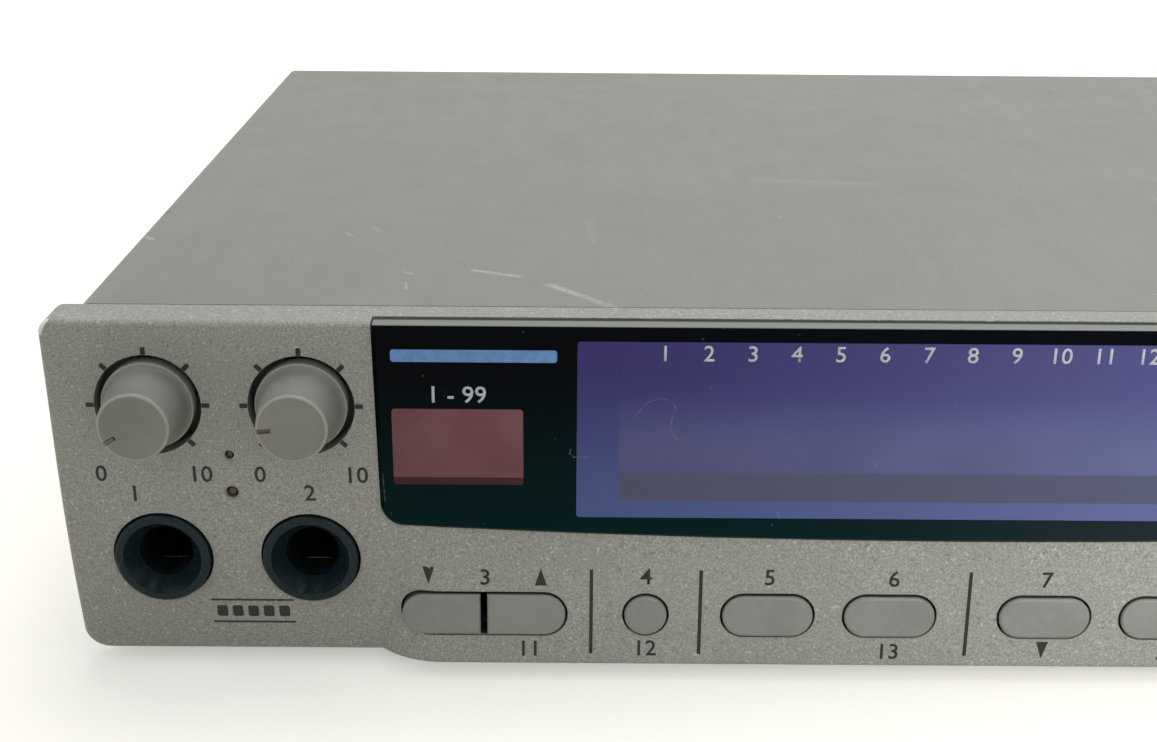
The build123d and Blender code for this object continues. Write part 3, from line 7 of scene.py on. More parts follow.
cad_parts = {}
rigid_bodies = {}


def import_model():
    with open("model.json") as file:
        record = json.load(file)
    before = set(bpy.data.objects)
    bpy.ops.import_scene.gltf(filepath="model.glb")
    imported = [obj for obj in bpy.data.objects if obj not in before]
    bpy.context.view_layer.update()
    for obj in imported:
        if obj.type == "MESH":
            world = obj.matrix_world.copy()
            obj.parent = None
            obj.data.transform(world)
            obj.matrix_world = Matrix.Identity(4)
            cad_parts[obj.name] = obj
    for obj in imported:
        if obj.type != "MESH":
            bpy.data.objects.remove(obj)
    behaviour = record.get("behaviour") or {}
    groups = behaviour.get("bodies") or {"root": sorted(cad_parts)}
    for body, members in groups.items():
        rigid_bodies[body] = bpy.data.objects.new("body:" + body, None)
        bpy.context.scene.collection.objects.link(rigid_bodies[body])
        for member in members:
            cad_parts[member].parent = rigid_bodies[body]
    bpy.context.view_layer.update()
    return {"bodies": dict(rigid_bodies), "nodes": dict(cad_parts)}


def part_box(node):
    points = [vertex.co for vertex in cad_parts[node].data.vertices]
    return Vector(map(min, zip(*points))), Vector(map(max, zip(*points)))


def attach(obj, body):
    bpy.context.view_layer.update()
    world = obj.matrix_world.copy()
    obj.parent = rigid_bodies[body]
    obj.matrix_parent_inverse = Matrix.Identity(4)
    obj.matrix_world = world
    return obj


# Looks of the half-rack effects unit: the finish of each surface, its printing and a plain studio.
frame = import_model()
bpy.ops.object.select_all(action="DESELECT")
nodes = frame["nodes"]
MM = 0.001


# ---------------------------------------------------------------- steel case
# Tray and cover are folded from 1 mm sheet steel and painted a warm satin grey. The cover lies
# over the tray and is held by two screws on each side; its paint is rubbed near the front.

class Wire:
    """One output of a material's nodes. Sums, differences and products add Math nodes."""

    def __init__(self, tree, socket=None):
        self.tree = tree
        self.socket = socket

    def node(self, kind, settings, sockets, out=0):
        """Add a node: its settings come first, then a value or a wire for each socket."""
        made = self.tree.nodes.new("ShaderNode" + kind)
        for name, value in settings.items():
            setattr(made, name, value)
        for name, value in sockets.items():
            if isinstance(value, Wire):
                self.tree.links.new(value.socket, made.inputs[name])
            else:
                made.inputs[name].default_value = value
        return Wire(self.tree, made.outputs[out] if made.outputs else None)

    def math(self, operation, first, second):
        return self.node("Math", {"operation": operation}, {0: first, 1: second})

    def __add__(self, other):
        return self.math("ADD", self, other)

    def __sub__(self, other):
        return self.math("SUBTRACT", self, other)

    def __rsub__(self, other):
        return self.math("SUBTRACT", other, self)

    def __mul__(self, other):
        return self.math("MULTIPLY", self, other)

    __radd__ = __add__
    __rmul__ = __mul__


def colour(red, green, blue):
    """A paint colour read off a card in 0-255 steps, as the light that it sends back."""
    steps = [value / 255 for value in (red, green, blue)]
    light = [s / 12.92 if s <= 0.04045 else ((s + 0.055) / 1.055) ** 2.4 for s in steps]
    return (*light, 1.0)


def grain(at, size, detail=2.0, rough=0.5):
    """Cloudy pattern whose patches are about as big as size, in metres."""
    return at.node("TexNoise", {}, {"Vector": at, "Scale": 1 / size, "Detail": detail,
                                    "Roughness": rough})


def between(value, low, high, start=0.0, end=1.0):
    """Smooth change from start to end as the value goes from low to high."""
    return value.node("MapRange", {"interpolation_type": "SMOOTHSTEP"},
                      {"Value": value, "From Min": low, "From Max": high,
                       "To Min": start, "To Max": end})


def mixed(mask, first, second):
    """First colour where the mask is 0, second where it is 1."""
    return mask.node("Mix", {"data_type": "RGBA"}, {0: mask, 6: first, 7: second}, out=2)


def relief(height, depth):
    """Bumps as deep as depth, in metres."""
    return height.node("Bump", {}, {"Height": height, "Distance": depth})


def shade(base, amount):
    """A colour made darker or lighter."""
    return (*[channel * amount for channel in base[:3]], 1.0)


def stretched(at, across, back, up):
    """The place with each axis multiplied, for a pattern that runs one way."""
    return at.node("VectorMath", {"operation": "MULTIPLY"}, {0: at, 1: (across, back, up)})


def distance(at, point):
    """How far the place lies from a point, in metres."""
    return at.node("VectorMath", {"operation": "DISTANCE"}, {0: at, 1: point}, out=1)


def stroke(at, start, end, width):
    """Mask of a soft line between two points, such as a scratch."""
    start, run = Vector(start), Vector(end) - Vector(start)
    offset = at.node("VectorMath", {"operation": "SUBTRACT"}, {0: at, 1: start})
    share = at.node("VectorMath", {"operation": "DOT_PRODUCT"},
                    {0: offset, 1: run / run.length_squared}, out=1)
    share = at.node("Clamp", {}, {0: share})
    foot = at.node("VectorMath", {"operation": "SCALE"}, {0: run, "Scale": share})
    return between(distance(offset, foot), 0.0, width, 1.0, 0.0)


def finish(name, parts):
    """A material; parts turns the place on the object into the shader's socket values."""
    material = bpy.data.materials.new(name)
    material.use_nodes = True
    tree = material.node_tree
    tree.nodes.clear()
    at = Wire(tree).node("TexCoord", {}, {}, out=3)
    shader = at.node("BsdfPrincipled", {}, parts(at))
    at.node("OutputMaterial", {}, {"Surface": shader})
    return material


def dress(material, *names):
    """Give a material to CAD nodes."""
    for name in names:
        for slot in nodes[name].material_slots:
            slot.material = material


COVER_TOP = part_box("top_cover")[1].z
# Each scuff has two ends on the cover's top, a width in millimetres and the share of paint it took.
SCUFFS = [((-50.9, -61.7), (-42.5, -70.8), 1.0, 0.55),
          ((-60.4, -56.1), (-54.9, -58.3), 0.8, 0.6),
          ((-19.9, -9.7), (-4.4, -11.7), 2.4, 0.12),
          ((-69.2, -57.0), (-68.0, -57.7), 0.5, 0.4),
          ((-68.5, -61.2), (-68.2, -63.5), 0.3, 0.5),
          ((-105.3, -42.1), (-103.9, -43.4), 0.8, 0.4),
          ((-46.0, -33.7), (-45.5, -43.3), 1.0, 0.12),
          ((-78.5, -39.9), (-77.8, -41.3), 0.6, 0.25),
          ((-75.1, -37.4), (-74.2, -38.9), 0.6, 0.2)]
NICK_FROM, NICK_TO = (-105.8, -30.2), (-104.6, -30.2)
NICK_WIDTH = 0.5 * MM
CHALKY = colour(196, 198, 190)
COVER_GREY = colour(124, 125, 117)


def on_cover(x, y):
    """A place on the cover's top, given in millimetres."""
    return (x * MM, y * MM, COVER_TOP)


def sheet_paint(base, scuffs):
    """Satin paint: faint clouds, streaks wiped from front to back, dust and scuffs."""
    def parts(at):
        cloud = grain(at, 35 * MM, 3.0)
        smear = grain(at, 9 * MM, 4.0, 0.6)
        wiped = grain(stretched(at, 7.0, 1.0, 1.0), 20 * MM, 3.0)
        fine = grain(at, 0.5 * MM)
        dust = between(grain(at, 1.2 * MM, 1.0), 0.76, 0.82)
        tone = between(cloud * 0.3 + wiped * 0.3 + fine * 0.4, 0.40, 0.60)
        paint = mixed(tone, shade(base, 0.955), shade(base, 1.045))
        marks = dust * 0.25
        for start, end, width, bared in scuffs:
            line = stroke(at, on_cover(*start), on_cover(*end), width * MM)
            marks = marks + line * between(smear * 0.6 + fine * 0.4, 0.36, 0.58, 0.2 * bared, bared)
        paint = mixed(marks, paint, CHALKY)
        if scuffs:
            nick = stroke(at, on_cover(*NICK_FROM), on_cover(*NICK_TO), NICK_WIDTH)
            paint = mixed(nick * 0.7, paint, colour(50, 50, 46))
        return {"Base Color": paint, "Roughness": between(smear, 0.3, 0.7, 0.46, 0.52),
                "Normal": relief(fine + smear * 0.5, 0.03 * MM), "Specular IOR Level": 0.5}
    return parts


dress(finish("cover_paint", sheet_paint(COVER_GREY, SCUFFS)), "top_cover")
dress(finish("tray_paint", sheet_paint(COVER_GREY, [])), "chassis_tray")


# ---------------------------------------------------------------- screws, nuts and feet
# Black zinc screws hold the cover and the feet, plain plated ones hold the boards. The feet are
# moulded rubber with a well for their screws.

def metal(base, shine, streak=0.6 * MM):
    """Plain or plated metal with fine drawn lines and a dull, uneven film."""
    def parts(at):
        film = grain(at, 4 * MM, 4.0, 0.6)
        lines = grain(stretched(at, 1.0, 1.0, 9.0), streak)
        dull = between(film * 0.6 + lines * 0.4, 0.3, 0.7, shine, shine + 0.18)
        return {"Base Color": mixed(film, base, shade(base, 0.82)), "Metallic": 1.0,
                "Roughness": dull, "Normal": relief(lines, 0.012 * MM)}
    return parts


def moulding(base, shine, texture=0.4 * MM, depth=0.03 * MM, gloss=0.5):
    """Moulded plastic or rubber: faint flow marks and a fine spark-eroded texture."""
    def parts(at):
        flow = grain(at, 6 * MM, 3.0)
        skin = grain(at, texture)
        tone = between(flow * 0.7 + skin * 0.3, 0.35, 0.65)
        return {"Base Color": mixed(tone, shade(base, 0.94), shade(base, 1.06)),
                "Roughness": between(flow, 0.3, 0.7, shine - 0.05, shine + 0.06),
                "Normal": relief(skin, depth), "Specular IOR Level": gloss}
    return parts


dress(finish("black_zinc", metal(colour(52, 52, 54), 0.35)), "cover_screws")
plate = finish("plated_steel", metal(colour(186, 186, 180), 0.28))
dress(plate, "inner_screws", "spacers", "rack_nuts", "input_shaft", "phones_shaft", "input_pot",
      "phones_pot", "level_switch")
rubber = moulding(colour(36, 36, 36), 0.8, 0.3 * MM, 0.06 * MM, 0.3)
dress(finish("foot_rubber", rubber), "rubber_feet")


# ---------------------------------------------------------------- boards
# Glass-fibre boards with green lacquer over copper tracks, and the parts that stand on them.
# The lacquer stands a little proud over the tracks, which show lighter.

TRACK_PITCH = 4.2 * MM
PAD_PITCH = 2.54 * MM
BAND_REPEAT = 3.1 * MM
BAND_FROM = 16.0 * MM
WIRE_PITCH = 1.27 * MM
FIRST_WIRE_X = -12.2 * MM


def along(at, axis):
    """The place along one axis: 0 across, 1 back, 2 up."""
    return at.node("SeparateXYZ", {}, {0: at}, out=axis)


def ridges(value, width):
    """The value folded up and down, so that it peaks at each odd multiple of the width."""
    return value.node("Math", {"operation": "PINGPONG"}, {0: value, 1: width})


def lacquer(at):
    """Green lacquer over copper tracks, with patches of tinned pads on the usual grid."""
    grid = at.node("TexVoronoi", {"feature": "DISTANCE_TO_EDGE", "distance": "MANHATTAN"},
                   {"Vector": at, "Scale": 1 / TRACK_PITCH, "Randomness": 0.75})
    tracks = between(grid, 0.03, 0.06, 1.0, 0.0)
    dots = at.node("TexVoronoi", {}, {"Vector": at, "Scale": 1 / PAD_PITCH, "Randomness": 0.0})
    pads = between(dots, 0.16, 0.20, 1.0, 0.0) * between(grain(at, 6 * MM, 1.0), 0.5, 0.52)
    green = mixed(tracks, colour(26, 84, 48), colour(48, 116, 66))
    return {"Base Color": mixed(pads, green, colour(188, 186, 176)), "Metallic": pads * 0.8,
            "Roughness": between(grain(at, 10 * MM, 3.0), 0.3, 0.7, 0.26, 0.4) - pads * 0.05,
            "Normal": relief(tracks + pads, 0.04 * MM)}


def printed_can(at):
    """Capacitor sleeves and chips: black, with faint grey bands on what stands tall."""
    band = between(ridges(along(at, 0), BAND_REPEAT), BAND_REPEAT - 0.5 * MM, BAND_REPEAT - 0.3 * MM)
    band = band * between(along(at, 2), BAND_FROM, BAND_FROM + 0.5 * MM)
    fine = grain(at, 0.4 * MM)
    return {"Base Color": mixed(band * 0.35, colour(34, 35, 38), colour(150, 152, 150)),
            "Roughness": between(fine, 0.3, 0.7, 0.4, 0.55), "Normal": relief(fine, 0.02 * MM)}


def flat_cable(at):
    """Grey ribbon cable: round wires side by side and a red first wire; grooves painted dark as shade."""
    across = along(at, 0)
    wires = ridges(across, WIRE_PITCH / 2)
    first = between(across, FIRST_WIRE_X, FIRST_WIRE_X + 0.1 * MM, 1.0, 0.0)
    # Painted shade: darker grey in the grooves between the wires.
    tone = mixed(between(wires, 0.0, 0.3 * MM), colour(112, 112, 112), colour(158, 158, 156))
    return {"Base Color": mixed(first, tone, colour(150, 44, 40)),
            "Roughness": between(grain(at, 2 * MM), 0.3, 0.7, 0.42, 0.55),
            "Normal": relief(wires * 1500.0, 0.3 * MM)}


dress(finish("board_lacquer", lacquer), "front_board", "side_boards", "main_board")
dress(finish("can_sleeve", printed_can), "processor_chips", "capacitors", "regulator")
dress(finish("ribbon", flat_cable), "ribbon_cable")
aluminium = metal(colour(196, 198, 200), 0.35, 0.3 * MM)
dress(finish("sink_aluminium", aluminium), "heat_sink", "backup_cell")
dress(finish("display_frame", metal(colour(160, 160, 156), 0.3)), "lcd_module")
brass = finish("contact_brass", metal(colour(206, 170, 92), 0.22))
dress(brass, "jack_contacts")
dress(finish("digit_block", moulding(colour(66, 44, 46), 0.45)), "led_display")
foam = moulding(colour(40, 40, 40), 0.9, 0.6 * MM, 0.1 * MM, 0.2)
dress(finish("foam_tape", foam), "lens_tape")
inner_black = finish("inner_black", moulding(colour(34, 35, 37), 0.5))
dress(inner_black, "tact_switches", "power_switch", "ribbon_plugs")


# ---------------------------------------------------------------- fascia
# One plastic moulding, sprayed with a grey metallic paint whose flakes show as a fine speckle;
# glints on some of the flakes are painted in.
# A chip at the upper left corner shows the white plastic, the paint has small dark pits, and the
# walls of the button slots are painted dark as shade.

fascia_low, fascia_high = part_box("front_fascia")
BUTTON_PROUD = 0.57 * MM
STRIP_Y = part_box("exit_button")[0].y + BUTTON_PROUD
LENS_PROUD = 0.8 * MM
face_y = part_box("display_lens")[0].y + LENS_PROUD
# A pale spot painted as a highlight on the rim of the upper lamp hole.
LAMP_HIGHLIGHT_AT = (fascia_low.x + 20.88 * MM, face_y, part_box("lamps")[1].z - 1.01 * MM)
HIGHLIGHT_R, HIGHLIGHT_FADE = 0.60 * MM, 0.12 * MM
CHIP_FROM = (fascia_low.x + 0.9 * MM, face_y + 0.6 * MM, fascia_high.z - 0.2 * MM)
CHIP_TO = (fascia_low.x + 0.1 * MM, face_y + 0.1 * MM, fascia_high.z - 1.3 * MM)
CHIP_WIDTH = 0.8 * MM
SLOTS_LOW, SLOTS_HIGH = 4.8 * MM, 13.2 * MM
SLOTS_END = 66.0 * MM


def within(value, low, high, rise, fall=None):
    """Mask that is 1 between low and high, and fades just inside each of them."""
    return between(value, low, low + rise) * between(value, high - (fall or rise), high, 1.0, 0.0)


def metallic_paint(at):
    """Flaked paint with pits and a chipped corner; glints, a lamp-hole rim highlight and slot shade are
    painted.
    """
    cloud = grain(at, 12 * MM, 3.0)
    flakes = grain(at, 0.24 * MM, 1.0)
    flake_glints = between(grain(at, 0.42 * MM, 0.0), 0.70, 0.80)
    pits = between(grain(at, 0.5 * MM, 0.0), 0.30, 0.22)
    paint = mixed(between(flakes, 0.32, 0.68), colour(133, 134, 127), colour(163, 164, 156))
    paint = mixed(between(cloud, 0.3, 0.7) * 0.25, paint, colour(136, 137, 130))
    # Painted glints: bright specks on some of the flakes.
    paint = mixed(flake_glints * 0.45, paint, colour(206, 207, 199))
    paint = mixed(pits * 0.4, paint, colour(96, 96, 90))
    ragged = grain(at, 0.7 * MM, 3.0)
    chip = between(stroke(at, CHIP_FROM, CHIP_TO, CHIP_WIDTH) - ragged * 0.36, 0.12, 0.2)
    paint = mixed(chip, paint, colour(232, 231, 222))
    # Painted highlight on one side of the lamp hole's rim.
    lamp_highlight = between(distance(at, LAMP_HIGHLIGHT_AT), HIGHLIGHT_R + HIGHLIGHT_FADE, HIGHLIGHT_R)
    paint = mixed(lamp_highlight * 0.8, paint, colour(214, 214, 206))
    row = within(along(at, 2), SLOTS_LOW, SLOTS_HIGH, 0.2 * MM)
    row = row * within(along(at, 0), -SLOTS_END, SLOTS_END, 0.5 * MM)
    # Painted shade: the walls of the button slots, behind the strip's face, are darkened.
    slot_shade = between(along(at, 1), STRIP_Y + 0.3 * MM, STRIP_Y + 0.6 * MM) * row
    paint = mixed(slot_shade * 0.85, paint, colour(30, 30, 28))
    return {"Base Color": paint, "Roughness": between(flakes, 0.3, 0.7, 0.42, 0.58) + chip * 0.2,
            "Normal": relief(flakes + cloud * 0.3 - chip * 3.0, 0.025 * MM),
            "Specular IOR Level": 0.4}


dress(finish("fascia_paint", metallic_paint), "front_fascia")


# ---------------------------------------------------------------- printing on the fascia
# Ticks, dividing lines, arrows and plain numbers are screen printed in dark grey ink that lies
# on the paint as a thin film, and follow the raked end and the leaning strip.

INK_T = 0.03 * MM


def printing_ink(base):
    """Matt ink, paler where it is worn thin."""
    def parts(at):
        fine = grain(at, 0.2 * MM)
        worn = between(grain(at, 1.1 * MM, 3.0), 0.35, 0.75)
        return {"Base Color": mixed(worn, base, shade(base, 1.25)),
                "Roughness": between(fine, 0.3, 0.7, 0.45, 0.6), "Normal": relief(fine, 0.01 * MM),
                "Specular IOR Level": 0.35}
    return parts


dark_ink = finish("dark_ink", printing_ink(colour(27, 28, 24)))


def middle(node):
    """The middle of a CAD node's box."""
    low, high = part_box(node)
    return (low + high) / 2


def settle(obj):
    """Put the object at the origin, unturned and unscaled, with its place in its mesh."""
    bpy.ops.object.select_all(action="DESELECT")
    obj.select_set(True)
    bpy.context.view_layer.objects.active = obj
    bpy.ops.object.transform_apply(location=True, rotation=True, scale=True)
    return obj


def thicken(obj, thickness, offset=1.0):
    """Give a flat form its thickness."""
    solid = obj.modifiers.new("film", "SOLIDIFY")
    solid.thickness = thickness
    solid.offset = offset
    bpy.context.view_layer.objects.active = obj
    bpy.ops.object.modifier_apply(modifier="film")


def join(name, pieces):
    """One object from several."""
    bpy.ops.object.select_all(action="DESELECT")
    for piece in pieces:
        piece.select_set(True)
    bpy.context.view_layer.objects.active = pieces[0]
    bpy.ops.object.join()
    pieces[0].name = name
    return settle(pieces[0])


def finish_piece(obj, material, body):
    """Material, body and slot of a finished piece."""
    obj.data.materials.clear()
    obj.data.materials.append(material)
    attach(obj, body)
    return obj


def print_on(node, obj, ink, facing=-1):
    """Stand a mark drawn flat, press it on to a node's face and give it the ink's thickness."""
    settle(obj)
    low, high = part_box(node)
    obj.rotation_euler = (pi / 2, 0, 0 if facing < 0 else pi)
    obj.location.y = low.y - MM if facing < 0 else high.y + MM
    settle(obj)
    wrap = obj.modifiers.new("press", "SHRINKWRAP")
    wrap.target = nodes[node]
    wrap.wrap_method = "PROJECT"
    wrap.use_project_y = True
    wrap.use_positive_direction = facing < 0
    wrap.use_negative_direction = facing > 0
    bpy.ops.object.modifier_apply(modifier="press")
    thicken(obj, INK_T)
    return finish_piece(obj, ink, "root")


def bar(x, z, width, height, turn=0.0):
    """A flat bar with its corners a little rounded, drawn on the table top."""
    bpy.ops.mesh.primitive_plane_add(size=1, location=(x, z, 0))
    obj = bpy.context.object
    obj.scale = (width, height, 1)
    obj.rotation_euler.z = turn
    settle(obj)
    bpy.ops.object.mode_set(mode="EDIT")
    bpy.ops.mesh.select_all(action="SELECT")
    bpy.ops.mesh.bevel(offset=min(width, height) * 0.2, segments=2, affect="VERTICES")
    bpy.ops.object.mode_set(mode="OBJECT")
    return obj


def arrow(x, z, width, height, turn=0.0):
    """A tall triangle, point up unless turned, made from one in a circle of radius 1."""
    bpy.ops.mesh.primitive_circle_add(vertices=3, radius=1, fill_type="NGON", location=(x, z, 0))
    obj = bpy.context.object
    obj.scale = (width / sqrt(3), height / 1.5, 1)
    obj.rotation_euler.z = turn
    return settle(obj)


def number(text, x, z, size=2.9 * MM):
    """A plain number centred on a place, a little bolder than the font."""
    bpy.ops.object.text_add(location=(0, 0, 0))
    obj = bpy.context.object
    obj.data.body = text
    obj.data.size = size
    obj.data.align_x = "CENTER"
    obj.data.align_y = "CENTER"
    obj.data.resolution_u = 3
    obj.data.offset = size * 0.008
    bpy.ops.object.convert(target="MESH")
    obj = bpy.context.object
    obj.location = (x, z, 0)
    return settle(obj)


KNOBS = ("input_knob", "phones_knob")
TICKS = 8
TICK_FROM, TICK_TO = 6.22 * MM, 7.15 * MM
TICK_W = 0.56 * MM
for name in KNOBS:
    knob_x, knob_z = middle(name).x, middle(KNOBS[0]).z
    tick = bar(knob_x + (TICK_FROM + TICK_TO) / 2, knob_z, TICK_TO - TICK_FROM, TICK_W)
    bpy.ops.object.mode_set(mode="EDIT")
    bpy.ops.mesh.select_all(action="SELECT")
    bpy.ops.mesh.spin(steps=TICKS - 1, dupli=True, angle=2 * pi * (TICKS - 1) / TICKS,
                      center=(knob_x, knob_z, 0), axis=(0, 0, 1))
    bpy.ops.mesh.select_all(action="DESELECT")
    bpy.ops.object.mode_set(mode="OBJECT")
    for face in tick.data.polygons:
        face.select = face.center.y < knob_z - TICK_FROM and abs(face.center.x - knob_x) < TICK_W
    bpy.ops.object.mode_set(mode="EDIT")
    bpy.ops.mesh.delete(type="FACE")
    bpy.ops.object.mode_set(mode="OBJECT")
    tick.name = name.replace("_knob", "_scale")
    print_on("front_fascia", tick, dark_ink)

# Places across and up are in millimetres, and sizes are width and height.
LINE_X = (-45.6, -32.4, 0.1, 32.4, 45.6)
LINE_Z = 9.3
LINE_SIZE = (0.43 * MM, 11.2 * MM)
ARROWS = [(-65.25, 14.3, pi), (-51.7, 13.5, 0), (9.5, 4.9, pi), (24.3, 4.15, 0),
          (51.9, 14.3, pi), (65.25, 13.5, 0)]
ARROW_SIZE = (1.45 * MM, 2.25 * MM)
NUMBERS = [("1", -99.7, 24.3), ("2", -79.0, 24.5), ("3", -58.4, 13.7), ("4", -39.0, 13.9),
           ("5", -24.1, 13.9), ("6", -9.1, 13.8), ("7", 9.3, 13.8), ("8", 24.1, 13.8),
           ("9", 39.0, 13.9), ("10", 58.4, 13.7), ("11", -53.1, 4.2), ("12", -39.0, 4.35),
           ("13", -9.3, 4.1), ("14", 39.0, 4.35), ("0", -103.4, 26.9), ("10", -91.7, 26.9),
           ("0", -84.7, 26.9), ("10", -73.4, 26.9)]
BADGE_X, BADGE_Z = -87.0, 7.9
BADGE_RISE, BADGE_STEP = 1.65, 1.9
BADGE_LINE = (10.1 * MM, 0.25 * MM)
BADGE_SQUARE = (1.3 * MM, 1.6 * MM)
marks = [bar(x * MM, LINE_Z * MM, *LINE_SIZE) for x in LINE_X]
marks += [arrow(x * MM, z * MM, *ARROW_SIZE, turn) for x, z, turn in ARROWS]
marks += [number(text, x * MM, z * MM) for text, x, z in NUMBERS]
for rise in (-BADGE_RISE, BADGE_RISE):
    marks.append(bar(BADGE_X * MM, (BADGE_Z + rise) * MM, *BADGE_LINE))
for step in (-2, -1, 0, 1, 2):
    marks.append(bar((BADGE_X + BADGE_STEP * step) * MM, BADGE_Z * MM, *BADGE_SQUARE))
print_on("front_fascia", join("front_print", marks), dark_ink)


# ---------------------------------------------------------------- display lens
# Polished black acrylic, printed black behind, with two clear coloured panes. It sits in the
# fascia on tape. Dust, faint smears, a fine hair and a few short scratches lie on it.

lens_low, lens_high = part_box("display_lens")
# The hair and the scratches are drawn through places across and up, in millimetres.
HAIR = [(-40.9, 34.9), (-40.2, 35.9), (-39.3, 36.9), (-38.0, 37.4), (-36.7, 37.1), (-36.1, 36.2),
        (-36.5, 34.9), (-36.7, 33.7), (-36.1, 32.4), (-35.0, 32.1)]
SCRATCHES = [[(-48.2, 30.9), (-48.3, 30.3), (-47.8, 29.9), (-46.1, 29.9)],
             [(-23.9, 23.3), (-23.4, 22.0)],
             [(-13.0, 29.7), (-12.3, 28.8)],
             [(-70.2, 27.5), (-70.0, 24.0)]]
SCRATCH_WIDTH = 0.12 * MM


def on_lens(x, z):
    """A place on the lens's face, given in millimetres."""
    return (x * MM, lens_low.y, z * MM)


def polished(tone):
    """Glossy acrylic: tone gives its colour, with dust and scratches. The sawn top is painted dark at the
    back as shade.
    """
    def parts(at):
        smear = grain(at, 7 * MM, 4.0, 0.6)
        marks = between(grain(at, 0.6 * MM, 0.0), 0.82, 0.86) * 0.15
        patchy = between(grain(at, 0.6 * MM), 0.35, 0.6, 0.04, 0.32)
        for points in [HAIR, *SCRATCHES]:
            for start, end in zip(points, points[1:]):
                line = stroke(at, on_lens(*start), on_lens(*end), SCRATCH_WIDTH)
                marks = marks + line * patchy
        sawn = between(along(at, 2), lens_high.z - 0.12 * MM, lens_high.z - 0.02 * MM)
        # Painted shade: the back of the top edge, in the gap under the fascia, is darkened.
        gap_shade = between(along(at, 1), lens_high.y - 1.0 * MM, lens_high.y - 0.7 * MM)
        edge = mixed(gap_shade, colour(140, 144, 138), colour(58, 60, 54))
        face = mixed(marks, tone(at), colour(150, 152, 156))
        return {"Base Color": mixed(sawn, face, edge),
                "Roughness": between(smear, 0.35, 0.75, 0.06, 0.13) + marks * 0.4 + sawn * 0.5,
                "Normal": relief(smear, 0.02 * MM), "Specular IOR Level": 0.03}
    return parts


def lens_black(at):
    """Black printed back with a painted reflection: greener at the lower left, greyer at the lower right.
    """
    # Painted reflection: teal at the lower left, grey at the lower right, near black above.
    low = mixed(between(along(at, 0), -30 * MM, 50 * MM), colour(0, 31, 33), colour(38, 44, 48))
    return mixed(between(along(at, 2), 19 * MM, 42 * MM), low, colour(2, 5, 10))


def red_pane(at):
    """Dull red pane with a darker strip along its lower edge, painted as shade."""
    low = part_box("patch_window")[0].z
    # Painted shade: the darker strip along the lower edge.
    strip = between(along(at, 2), low + 0.9 * MM, low + 1.05 * MM, 1.0, 0.0)
    cloud = between(grain(at, 6 * MM, 3.0), 0.3, 0.7)
    glow = mixed(cloud, colour(111, 74, 80), colour(120, 84, 87))
    return mixed(strip, glow, colour(70, 44, 50))


PANEL_END = 42.8 * MM
PANEL_BASE, PANEL_LINE, PANEL_TOP = 24.2 * MM, 28.2 * MM, 38.8 * MM


def blue_pane(at):
    """Violet-blue pane over a milky display panel with a greyer band below; both painted lighter to the
    right as light.
    """
    across, up = along(at, 0), along(at, 2)
    inside = within(across, -PANEL_END, PANEL_END, 0.4 * MM)
    glass = inside * within(up, PANEL_BASE, PANEL_TOP, 0.3 * MM, 9.0 * MM)
    low_band = inside * within(up, PANEL_BASE, PANEL_LINE, 0.3 * MM)
    cloud = between(grain(at, 11 * MM), 0.3, 0.7)
    # Painted light: the pane's rim and the panel are lighter to the right; the rim is darker towards the
    # top.
    right = between(across, -48 * MM, 34 * MM)
    high = between(up, 22 * MM, 42 * MM)
    rim_in_shade = mixed(high, colour(78, 92, 140), colour(63, 58, 112))
    rim_in_light = mixed(high, colour(96, 103, 152), colour(82, 82, 132))
    panel_in_shade = mixed(cloud, colour(84, 84, 126), colour(90, 89, 132))
    panel_in_light = mixed(cloud, colour(94, 99, 139), colour(98, 104, 146))
    low_panel = mixed(right, colour(86, 86, 110), colour(84, 88, 112))
    rim = mixed(right, rim_in_shade, rim_in_light)
    panel = mixed(low_band, mixed(right, panel_in_shade, panel_in_light), low_panel)
    return mixed(glass, rim, panel)


dress(finish("lens_acrylic", polished(lens_black)), "display_lens")
dress(finish("red_acrylic", polished(red_pane)), "patch_window")
dress(finish("blue_acrylic", polished(blue_pane)), "lcd_window")

blue_ink = finish("blue_ink", printing_ink(colour(92, 132, 182)))
white_ink = finish("white_ink", printing_ink(colour(176, 180, 186)))
STRIPE_X, STRIPE_DROP = -59.3 * MM, 3.6 * MM
stripe = bar(STRIPE_X, lens_high.z - STRIPE_DROP, 19.0 * MM, 1.5 * MM)
stripe.name = "lens_stripe"
print_on("display_lens", stripe, blue_ink)
RANGE_RISE = 1.7 * MM
range_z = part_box("patch_window")[1].z + RANGE_RISE
range_mark = number("1 - 99", middle("patch_window").x, range_z)
range_mark.name = "patch_range"
print_on("display_lens", range_mark, white_ink)
COLUMNS = 16
COLUMN_STEP = 5.0 * MM
COLUMN_Z = lens_high.z - 3.2 * MM
COLUMN_SIZE = 2.7 * MM
places = [number(str(i + 1), (i - (COLUMNS - 1) / 2) * COLUMN_STEP, COLUMN_Z, COLUMN_SIZE)
          for i in range(COLUMNS)]
print_on("lcd_window", join("column_numbers", places), white_ink)


# ---------------------------------------------------------------- knobs
# Hollow grey mouldings with a flared rim, pushed on D shafts. The pointer is a notch at the edge
# of the face; on the first its fill is a darker grey painted as shade in the notch, on the second
# it is filled with mauve paint.

KNOB_FACE_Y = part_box("input_knob")[0].y


def rubbed_edges(at, name):
    """Painted highlights on one knob: the edge of its face and its rim."""
    axis = middle(name)
    away = distance(stretched(at, 1.0, 0.0, 1.0), (axis.x, 0.0, axis.z))
    front = between(along(at, 1), KNOB_FACE_Y + 0.4 * MM, KNOB_FACE_Y + 0.2 * MM)
    edge = within(away, 3.70 * MM, 4.20 * MM, 0.15 * MM, 0.10 * MM)
    rim = within(away, 5.12 * MM, 6.10 * MM, 0.13 * MM, 0.10 * MM)
    return edge * front + rim * 0.8


